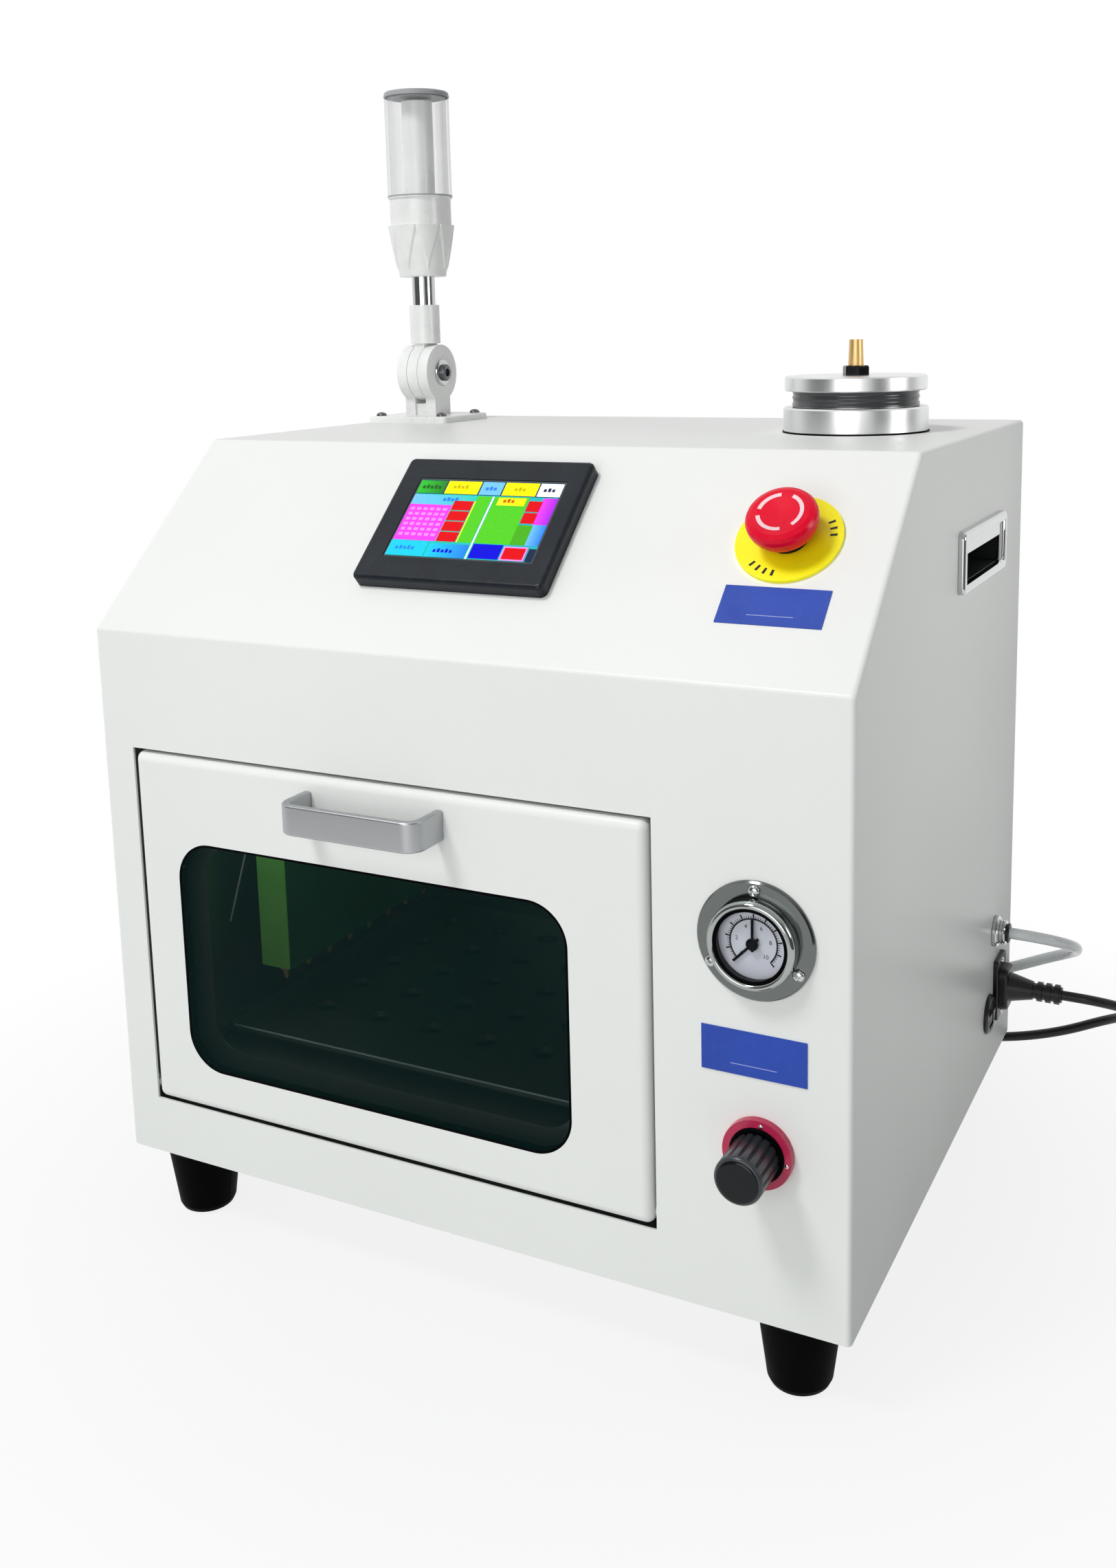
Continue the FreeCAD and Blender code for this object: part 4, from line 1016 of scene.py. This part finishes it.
@dataclass
class TouchPanel:
    """The lit picture on the touch screen: plain blocks and dashes with no words."""

    at: Spot = (243.0, 95.0)
    wide: float = 99.0
    tall: float = 60.0
    out: float = 8.62
    lowest: float = 0.02
    layer: float = 0.004

    def blocks(self) -> list[Block]:
        """Lists the blocks from the lowest layer to the highest.

        Returns:
            The blocks.
        """
        green, yellow, sky = (0.08, 0.55, 0.015), (0.98, 0.88, 0.0), (0.16, 0.5, 0.9)
        red, magenta, blue = (0.66, 0.0, 0.004), (0.78, 0.05, 0.78), (0.02, 0.2, 0.78)
        cyan, teal, dark = (0.01, 0.55, 0.74), (0.01, 0.55, 0.4), (0.01, 0.02, 0.06)
        white, navy, ochre = (0.9, 0.88, 0.95), (0.0, 0.0, 0.62), (0.5, 0.42, 0.0)
        violet, lilac = (0.36, 0.02, 0.75), (0.85, 0.25, 0.85)
        plain = (
            # ground
            (0.0, 0.0, 1.0, 1.0, teal, (0.02, 0.4, 0.45)), (0.0, 0.81, 1.0, 0.19, (0.01, 0.05, 0.1)),
            # tabs along the top
            (0.0, 0.82, 0.19, 0.17, (0.03, 0.5, 0.03), (0.02, 0.2, 0.02)), (0.2, 0.82, 0.235, 0.17, yellow),
            (0.445, 0.82, 0.15, 0.17, sky), (0.605, 0.82, 0.23, 0.17, yellow),
            (0.845, 0.82, 0.155, 0.17, white),
            # fields between
            (0.0, 0.67, 0.5, 0.13, sky, teal), (0.0, 0.2, 0.3, 0.47, magenta), (0.45, 0.2, 0.1, 0.6, green),
            (0.57, 0.2, 0.24, 0.6, green), (0.6, 0.69, 0.19, 0.1, (0.75, 0.85, 0.02), yellow),
            (0.9, 0.2, 0.1, 0.6, magenta, violet), (0.9, 0.2, 0.1, 0.26, sky, blue),
            (0.81, 0.2, 0.1, 0.25, (0.06, 0.38, 0.01)), (0.445, 0.2, 0.008, 0.53, yellow),
            (0.555, 0.0, 0.011, 0.8, white),
        )
        foot = (
            (0.0, 0.0, 0.265, 0.19, cyan), (0.275, 0.0, 0.27, 0.17, cyan, blue),
            (0.575, 0.01, 0.2, 0.18, navy), (0.785, 0.005, 0.16, 0.17, lilac),
            (0.795, 0.02, 0.14, 0.14, red), (0.955, 0.0, 0.045, 0.16, dark),
        )
        rows = (
            (0.03, 0.88, 5, (0.01, 0.12, 0.01)), (0.25, 0.89, 4, ochre), (0.48, 0.88, 3, blue),
            (0.68, 0.88, 3, ochre), (0.88, 0.88, 3, dark), (0.05, 0.08, 5, blue), (0.32, 0.06, 5, navy),
            (0.22, 0.72, 4, blue), (0.64, 0.725, 3, (0.6, 0.1, 0.0)),
        )
        grid = [(0.02 + 0.046 * (i % 6), 0.26 + 0.066 * (i // 6), 0.03, 0.036, lilac) for i in range(36)]
        boxes = [(0.305, 0.2 + 0.135 * i, 0.135, 0.122, red) for i in range(4)]
        boxes += [(0.815, 0.47 + 0.15 * i, 0.09, 0.135, red) for i in range(2)]
        dashes = [
            (x + 0.028 * i, y, 0.018, 0.035 + 0.012 * (i % 2), color)
            for x, y, count, color in rows for i in range(count)
        ]
        return [Block(*row) for row in (*plain, *grid, *boxes, *foot, *dashes)]

    def build(self) -> None:
        """Lays the blocks in thin layers over the screen."""
        mesh = bmesh.new()
        tint = mesh.loops.layers.float_color.new("tint")
        for level, block in enumerate(self.blocks()):
            z = self.lowest + self.layer * level
            x0, x1, y0, y1 = block.x, block.x + block.wide, block.y, block.y + block.tall
            spots = [(x0, y0), (x1, y0), (x1, y1), (x0, y1)]
            face = mesh.faces.new([
                mesh.verts.new(((px - 0.5) * self.wide, (py - 0.5) * self.tall, z)) for px, py in spots
            ])
            far = block.right or block.left
            for loop, color in zip(face.loops, (block.left, far, far, block.left)):
                loop[tint] = (*color, 1.0)
        piece(mesh, "screen_picture", "display", LAYOUT.on(Panel.SLOPE, *self.at, self.out))


@dataclass
class StopButton:
    """The marks on the emergency stop's head and legend ring."""

    at: Spot = (436.0, 97.0)
    head: Arc = Arc(10.9, 13.1, 22.5, 0.12, 1 / 13.0)
    spans: tuple[Spot, ...] = ((100, 174), (-44, 68), (196, 284))
    bar: Arc = Arc(22.6, 26.6, 2.0, 0.06)
    bar_angles: tuple[float, ...] = (230, 241, 252, 263, 8, 19, 30)
    half_bar: float = 1.8

    def build(self) -> None:
        """Prints three turning arcs on the head and two rows of plain bars on the ring."""
        place = LAYOUT.on(Panel.SLOPE, *self.at)
        arcs = [self.head.mesh(*span) for span in self.spans]
        piece(merged(*arcs), "stop_head_arcs", "print_pink", place, Body.STOP_BUTTON)
        bars = [self.bar.mesh(a - self.half_bar, a + self.half_bar, 2) for a in self.bar_angles]
        piece(merged(*bars), "stop_ring_bars", "print_black", place)


@dataclass
class Gauge:
    """The printed dial of the pressure gauge, with a black ring of painted shade inside the bezel, its hub,
    lens seal and bezel rim.
    """

    at: Spot = (443.0, 217.5)
    arc: float = 13.4
    numbers: float = 9.4
    digit: float = 3.2
    level: float = 3.82
    ink: float = 0.05
    start: float = 225.0
    sweep: float = 270.0
    top_value: int = 10
    ticks: int = 50
    trim: tuple[Turned, ...] = (
        # Black ring round the dial inside the bezel: painted shade.
        Turned("dial_liner", "print_black", ((19.5, 3.85), (20.25, 3.85), (20.25, 7.55), (19.7, 7.55))),
        Turned("dial_hub", "black_rubber", ((0, 6.25), (3.3, 6.25), (3.3, 6.7), (2.4, 7.2), (0, 7.3)), 32),
        Turned("lens_seal", "black_rubber", ((18.5, 9.42), (20.4, 9.42), (20.4, 10.1), (19.2, 9.9))),
        Turned("gauge_bezel_rim", "rim_chrome", (
            (20.3, 9.9), (20.5, 10.4), (21.2, 10.9), (22.1, 11.0), (23.0, 10.6), (23.8, 9.6), (24.2, 8.4),
            (24.3, 7.0), (24.3, 4.0), (23.0, 4.0), (22.0, 8.0), (20.3, 9.0),
        ), 96),
    )

    def build(self) -> None:
        """Prints the scale and its numbers and sets the turned trim."""
        place = LAYOUT.on(Panel.FRONT, *self.at)
        line = Arc(self.arc - 0.9, self.arc, self.level, self.ink)
        scale = [line.mesh(self.start - self.sweep, self.start, 60)]
        for i in range(self.ticks + 1):
            angle = self.start - self.sweep * i / self.ticks
            reach, half = (2.4, 1.6) if i % 5 == 0 else (1.1, 0.7)
            tick = Arc(self.arc - 0.4, self.arc + reach, self.level, self.ink)
            scale.append(tick.mesh(angle - half, angle + half, 1))
        piece(merged(*scale), "dial_scale", "print_black", place)
        digits = [self.number(value) for value in range(0, self.top_value + 1, 2)]
        piece(merged(*digits), "dial_numbers", "print_black", place)
        for turned in self.trim:
            turned.build(place)

    def number(self, value: int) -> BMesh:
        """A printed number at its place on the dial.

        Args:
            value: The number.

        Returns:
            The flat mesh.
        """
        curve = bpy.data.curves.new("number", "FONT")
        curve.body, curve.size, curve.align_x, curve.align_y = str(value), self.digit, "CENTER", "CENTER"
        holder = linked(bpy.data.objects.new("number", curve))
        mesh = bmesh.new()
        mesh.from_mesh(evaluated(holder))
        bpy.data.objects.remove(holder)
        angle = math.radians(self.start - self.sweep * value / self.top_value)
        spot = (self.numbers * math.cos(angle), self.numbers * math.sin(angle), self.level + self.ink)
        return moved(mesh, Matrix.Translation(spot))


@dataclass
class Lamp:
    """The signal lamp's petalled skirt, seals, faceted inner tube, pivot hardware and rounded foot and arm.
    """

    at: Spot = (39.0, 335.0)
    base: float = 113.0
    shoulder: float = 151.5
    lens: float = 174.0
    top: float = 250.0
    pivot: float = 38.0
    pivot_out: float = 14.0
    petals: int = 8
    petal_lift: float = 1.2
    skirt_foot: float = 18.3
    skirt_flare: float = 6.4
    skirt_up: float = 0.6
    washer: Turned = Turned(
        "pivot_washer", "chrome", ((6.6, 0), (10.4, 0), (10.4, 1.2), (9.6, 1.8), (6.6, 1.8)), 48)
    bolt_head: Profile = ((0, 3.0), (3.2, 3.0), (3.2, 5.3), (5.4, 5.3), (6.6, 4.4), (6.6, 1.0), (0, 1.0))
    bolt_nut: Profile = ((0, 0), (6.9, 0), (6.9, 3.4), (6.2, 4.0), (0, 4.0))

    def skirt(self) -> BMesh:
        """The cone with raised petals that end in points toward its foot.

        Returns:
            The mesh.
        """
        mesh = bmesh.new()
        per_petal, rows = 24, 30
        offsets = [abs((i / per_petal + 0.5) % 1.0 - 0.5) for i in range(per_petal * self.petals)]
        rings = []
        for share in (row / rows for row in range(rows + 1)):
            half = 0.5 * held((share - 0.1) / 0.82)
            cone = self.skirt_foot + self.skirt_flare * share
            radii = [cone + self.petal_lift * held((half - off) / 0.05) for off in offsets]
            rings.append(ring(mesh, radii, self.base + self.skirt_up + (self.shoulder - self.base) * share))
        for inside, z in ((23.0, self.shoulder), (17.0, self.base)):
            rings.append(ring(mesh, [inside] * len(offsets), z + self.skirt_up))
        return bridged(mesh, rings, loop=True)

    def build(self) -> None:
        """Sets the skirt, lens seals, faceted inner tube, washer and bolt ends and rounds the foot and the
        arm.
        """
        place = LAYOUT.on(Panel.ROOF, *self.at)
        piece(self.skirt(), "lamp_skirt", "white_plastic", place, Body.TOWER, 28)
        seals = [lathe(tube(24.4, 25.3, z, z + 1.1), 72) for z in (self.lens, self.top - 0.8)]
        piece(merged(*seals), "lamp_seals", "grey_plastic", place, Body.TOWER)
        # Faceted white inner tube: its facets give painted reflection bands in the clear lens.
        facets = tube(20.6, 21.4, self.lens + 1, self.top - 3)
        Turned("lamp_reflector", "lens_facets", facets, 9, Body.TOWER, 10).build(place)
        hinge = Matrix.Translation((self.pivot_out * MM, 0, self.pivot * MM))
        side = place @ hinge @ Matrix.Rotation(QUARTER, 4, "Y")
        self.washer.build(side)
        back = Matrix.Rotation(math.pi, 4, "Y") @ Matrix.Translation((0, 0, 2 * self.pivot_out))
        ends = merged(lathe(self.bolt_head, 36), moved(lathe(self.bolt_nut, 6), back))
        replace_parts(piece(ends, "pivot_bolt_ends", "dark_screw", side), "tower_pivot_bolt")
        softened("tower_foot", "white_plastic", Body.CABINET, 0.9)
        softened("tower_arm", "white_plastic", Body.TOWER, 0.9)


@dataclass
class Filler:
    """The black nut, neck seal and gasket of the water filler."""

    at: Spot = (412.0, 270.0)
    trim: tuple[Turned, ...] = (
        Turned("breather_nut", "gloss_black", (
            (0, 36.4), (8.8, 36.4), (8.8, 41.8), (8.0, 42.8), (0, 42.8),
        ), 6, Body.CAP, 25),
        Turned("filler_gasket", "black_rubber", tube(45, 47.6, -0.2, 1.1), 96),
        Turned("cap_neck_seal", "dark_neck", (
            (38.0, 17.0), (41.2, 17.0), (41.2, 19.0), (40.7, 19.6), (40.7, 21.4), (41.2, 22.0), (41.2, 23.2),
            (40.7, 23.8), (40.7, 25.4), (41.2, 26.0), (41.2, 26.9), (38.0, 26.9),
        ), 96, Body.CAP),
    )

    def build(self) -> None:
        """Adds the breather's nut and the seals."""
        for turned in self.trim:
            turned.build(LAYOUT.on(Panel.ROOF, *self.at))


@dataclass
class Knob:
    """The regulator's fluted knob, its glossy cap and a black ring of painted shade round its foot."""

    at: Spot = (444.5, 100.0)
    radius: float = 13.4
    flutes: int = 16
    groove: float = 1.3
    bore: float = 6.25
    # Height, growth of the radius and depth of the flutes up the outside.
    levels: tuple[Point, ...] = (
        (6.25, -0.8, 1.0), (7.0, 0.0, 1.0), (29.6, 0.0, 1.0), (30.6, 0.0, 0.0), (31.4, -0.1, 0.0),
        (32.4, -0.8, 0.0), (32.9, -1.7, 0.0),
    )
    trim: tuple[Turned, ...] = (
        Turned("knob_cap", "gloss_black", (
            (0, 32.6), (11.7, 32.6), (11.7, 33.2), (11.0, 33.8), (9.6, 33.9), (0, 33.5),
        ), 48, Body.KNOB),
        # Black ring in the gap between the knob and the red ring: painted shade.
        Turned("regulator_collar", "black_rubber", (
            (12.3, 4.3), (15.4, 4.3), (15.4, 5.2), (14.6, 5.9), (12.3, 5.9),
        ), 64),
    )

    def grip(self) -> BMesh:
        """The barrel, with narrow grooves between broad flutes.

        Returns:
            The mesh.
        """
        mesh = bmesh.new()
        per_flute, half_groove = 12, 0.2
        offsets = [abs((i / per_flute + 0.5) % 1.0 - 0.5) for i in range(per_flute * self.flutes)]
        cuts = [self.groove * max(0.0, 1.0 - (off / half_groove) ** 2) for off in offsets]
        inside = self.bore - self.radius
        rings = [
            ring(mesh, [self.radius + grow - cut * share for cut in cuts], z)
            for z, grow, share in ((27.0, inside, 0.0), (6.25, inside, 0.0), *self.levels)
        ]
        return bridged(mesh, rings, ends=True)

    def build(self) -> None:
        """Puts the fluted barrel in the CAD knob's place, with its cap and the ring of painted shade."""
        place = LAYOUT.on(Panel.FRONT, *self.at)
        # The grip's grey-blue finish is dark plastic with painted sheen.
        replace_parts(piece(self.grip(), "knob_grip", "knob_plastic", place, Body.KNOB, 50), "regulator_knob")
        for turned in self.trim:
            turned.build(place)


@dataclass
class Grips:
    """The rounded edges of the door handle and the flush pull frames."""

    handle_edge: float = 1.2
    pull_edge: float = 0.5

    def build(self) -> None:
        """Puts the rounded copies in the CAD pieces' place."""
        softened("door_handle", "satin_aluminium", Body.DOOR, self.handle_edge)
        softened("pull_handle_frames", "pull_chrome", Body.CABINET, self.pull_edge)


@dataclass
class Fittings:
    """The air fitting's flange, grooved barrel and release ring."""

    air: Spot = (343.0, 101.0)
    flange: Profile = ((0, 0.1), (10.6, 0.1), (11.1, 0.5), (11.1, 2.6), (10.4, 3.2), (0, 3.2))
    barrel: Profile = (
        (0, 3.0), (8.6, 3.0), (8.6, 4.4), (7.7, 4.7), (7.7, 5.3), (8.6, 5.6), (8.6, 6.4), (7.7, 6.7),
        (7.7, 7.3), (8.6, 7.6), (8.6, 8.0), (8.0, 8.6), (4.3, 8.6), (4.3, 4.0), (0, 4.0),
    )
    collet: Turned = Turned("air_release_ring", "black_plastic", (
        (4.2, 8.2), (6.2, 8.2), (6.2, 9.2), (6.9, 9.5), (6.9, 10.6), (6.3, 11), (4.2, 11),
    ), 40)

    def build(self) -> None:
        """Puts the finer shape in the CAD fitting's place, with its ring."""
        place = LAYOUT.on(Panel.RIGHT, *self.air)
        both = merged(lathe(self.flange, 48), lathe(self.barrel, 48))
        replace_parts(piece(both, "air_fitting_body", "chrome", place, smooth=28), "air_fitting")
        self.collet.build(place)


@dataclass
class Chamber:
    """The wash chamber's light strip and sensor lead, with painted highlights: a lighter green sheet on the
    carriage's front face and a pale strip on the tray's front edge.
    """

    strip: Sheet = Sheet(
        "chamber_lamp", "chamber_light", Panel.ROOF, (89.0, 43.0), (62.0, 10.0), (-211.0, -205.5), 2.0, 8)
    lead: tuple[Point, Point] = ((60.0, 40.0, 151.0), (88.0, 40.0, 237.0))
    lead_radius: float = 0.6
    # Thin lighter green sheet on the carriage's front face: painted highlight where the light falls.
    plate: Sheet = Sheet(
        "carriage_front_plate", "carriage_plate", Panel.FRONT, (79.5, 161.5), (23.0, 94.0), (-60.0, -59.6),
        0.6, body=Body.CARRIAGE)
    # Pale strip along the tray's front edge: painted highlight.
    edge: Sheet = Sheet(
        "tray_front_edge", "edge_tape", Panel.FRONT, (204.5, 79.4), (290.0, 1.0), (-38.0, -37.6), 0.2,
        body=Body.TRAY)

    def build(self) -> None:
        """Hangs the strip and the lead, and lays the painted highlight sheets on the carriage and the tray,
        which move.
        """
        self.strip.build()
        low, high = (Vector(p) for p in self.lead)
        aim = (high - low).to_track_quat("Z", "Y").to_matrix().to_4x4()
        long, wide = (high - low).length, self.lead_radius
        lead = moved(lathe(((0, 0), (wide, 0), (wide, long), (0, long)), 10), Matrix.Translation(low) @ aim)
        piece(lead, "sensor_lead", "print_white")
        self.plate.build()
        self.edge.build()


@dataclass
class Labels:
    """A plain printed rule near the foot of each blue plate."""

    size: Spot = (26.0, 0.45)
    span: Spot = (0.55, 0.64)
    rules: tuple[tuple[str, Panel, Spot], ...] = (
        ("upper_label_rule", Panel.SLOPE, (438.5, 45.0)), ("lower_label_rule", Panel.FRONT, (441.5, 147.2)),
    )

    def build(self) -> None:
        """Prints both rules."""
        for name, panel, at in self.rules:
            Sheet(name, "print_blue", panel, at, self.size, self.span, 0.2).build()


# Studio


@dataclass(frozen=True)
class SoftLamp:
    """A round lamp: its place and target in metres, diameter, power and beam in degrees."""

    name: str
    at: Point
    size: float
    watts: float
    target: Point = (0.0, 0.0, 0.25)
    beam: float = 180.0

    def build(self) -> None:
        """Aims the lamp at its target."""
        data = bpy.data.lights.new(self.name, "AREA")
        data.shape, data.size = "DISK", self.size
        data.energy, data.spread = self.watts, math.radians(self.beam)
        aim = (Vector(self.target) - Vector(self.at)).to_track_quat("-Z", "Y").to_matrix().to_4x4()
        linked(bpy.data.objects.new(self.name, data)).matrix_world = Matrix.Translation(self.at) @ aim


@dataclass
class Studio:
    """The camera, lamps, floor and backdrop."""

    eye: Point = (704.45, -695.2, 530.3)
    azimuth: float = 26.538
    elevation: float = 9.507
    roll: float = -1.182
    lens: float = 34.69
    sensor: float = 36.0
    shift: Spot = (-0.02696, -0.12856)
    floor_half: float = 1.25
    floor_color: Tint = (0.56, 0.6, 0.585, 1.0)
    white: Tint = (1.0, 1.0, 1.0, 1.0)
    lamps: tuple[SoftLamp, ...] = (
        SoftLamp("key", (-0.6, -1.25, 2.3), 0.6, 25.0),
        SoftLamp("fill", (0.2, -2.3, 0.7), 1.6, 17.0),
        SoftLamp("side", (1.25, 0.0, 0.66), 0.5, 0.33, (0.245, 0.0, 0.5), 50.0),
    )

    def camera(self) -> None:
        """Sets the camera at the photograph's place."""
        data = bpy.data.cameras.new("camera")
        data.lens, data.sensor_width = self.lens, self.sensor
        data.shift_x, data.shift_y = self.shift
        data.clip_start, data.clip_end = 0.05, 50.0
        obj = linked(bpy.data.objects.new("camera", data))
        turn = (
            Matrix.Rotation(math.radians(self.azimuth), 4, "Z")
            @ Matrix.Rotation(math.radians(90 - self.elevation), 4, "X")
            @ Matrix.Rotation(math.radians(self.roll), 4, "Z")
        )
        obj.matrix_world = Matrix.Translation(spot_at(*self.eye)) @ turn
        bpy.context.scene.camera = obj

    def world(self) -> None:
        """Lights the room softly, darker on the right, with white behind the machine."""
        world = bpy.data.worlds.new("studio")
        sky = Shader(world)
        way = sky.node("ShaderNodeSeparateXYZ", {}, {0: sky.node("ShaderNodeTexCoord").outputs["Generated"]})
        across, along, up = (Signal(sky, socket) for socket in way.outputs)
        camera, through, gloss = sky.rays("Camera", "Transmission", "Glossy")
        room = sky.spread(across, 0.62, 0.15, -0.8, 0.8) * sky.spread(up, 1.0, 0.87, 0.3, 1.0)
        toward = across * 0.44 - along * 0.88
        panels = sky.spread(toward, 0.0, 1.0, 0.92, 0.97) + sky.spread(toward, 1.0, 0.0, -0.3, 0.05)
        mirror = sky.spread(panels + sky.spread(up, 0.0, 0.5, 0.4, 0.75), 0.13, 1.0, 0.0, 1.0)
        lit = room + gloss * (mirror - room)
        sky.set(Strength=lit + (camera + through) * (1.0 - lit), Color=self.white)
        bpy.context.scene.world = world

    def floor(self) -> None:
        """Lays a pale floor that fades to white away from the machine."""
        mesh = bmesh.new()
        bmesh.ops.create_grid(mesh, x_segments=1, y_segments=1, size=self.floor_half)
        data = bpy.data.meshes.new("floor")
        mesh.to_mesh(data)
        mesh.free()
        obj = linked(bpy.data.objects.new("floor", data))
        obj.location.z = -0.0005
        ground = bpy.data.materials.new("floor")
        s = Shader(ground)
        spot = s.node("ShaderNodeVectorMath", {"operation": "LENGTH"}, {0: s.place()}).outputs["Value"]
        far = s.spread(Signal(s, spot), 0.84, 1.0, 0.25, 0.6)
        s.set(Base_Color=self.floor_color, Roughness=0.9, Specular_IOR_Level=0.1)
        glow = s.node("ShaderNodeEmission", {}, {"Color": self.white, "Strength": 1.0})
        camera, gloss, through = s.rays("Camera", "Glossy", "Transmission")
        share = far * (camera + gloss + through)
        mix = s.node("ShaderNodeMixShader", {}, {0: share, 1: s.surface.outputs[0], 2: glow.outputs[0]})
        s.feed(s.tree.nodes["Material Output"].inputs["Surface"], mix.outputs[0])
        data.materials.append(ground)

    def build(self) -> None:
        """Builds the studio."""
        self.camera()
        self.world()
        self.floor()
        for lamp in self.lamps:
            lamp.build()
        bpy.context.scene.view_settings.view_transform = "Standard"


OWN_FINISH = {
    "filler_collar": "turned_metal", "filler_cap": "turned_metal", "tower_light_core": "frosted_core",
    "gauge_case": "gauge_chrome", "pull_handle_cups": "cup_plastic", "chamber_liner": "liner_metal",
    "nozzle_tray": "tray_metal", "door_inner_skin": "liner_metal",
    "gauge_pointer": "black_rubber", "gauge_set_hand": "black_rubber",
}


def dress_cad() -> None:
    """Gives every CAD node its own finish, or that of its slot."""
    for part in frame["record"]["subparts"]:
        obj = frame["nodes"][part["node"]]
        obj.data.materials.clear()
        obj.data.materials.append(finish_of(OWN_FINISH.get(part["node"], part["material_slot"])))


def main() -> None:
    """Builds the scene in order and reports each piece."""
    logging.basicConfig(level=logging.INFO, format="%(message)s")
    for part in (
        Studio(), AIR_LINE, POWER_LEAD, Hardware(), TouchPanel(), StopButton(), Gauge(), Lamp(), Filler(),
        Knob(), Grips(), Fittings(), Chamber(), Labels(),
    ):
        part.build()
    dress_cad()


if __name__ == "__main__":
    main()
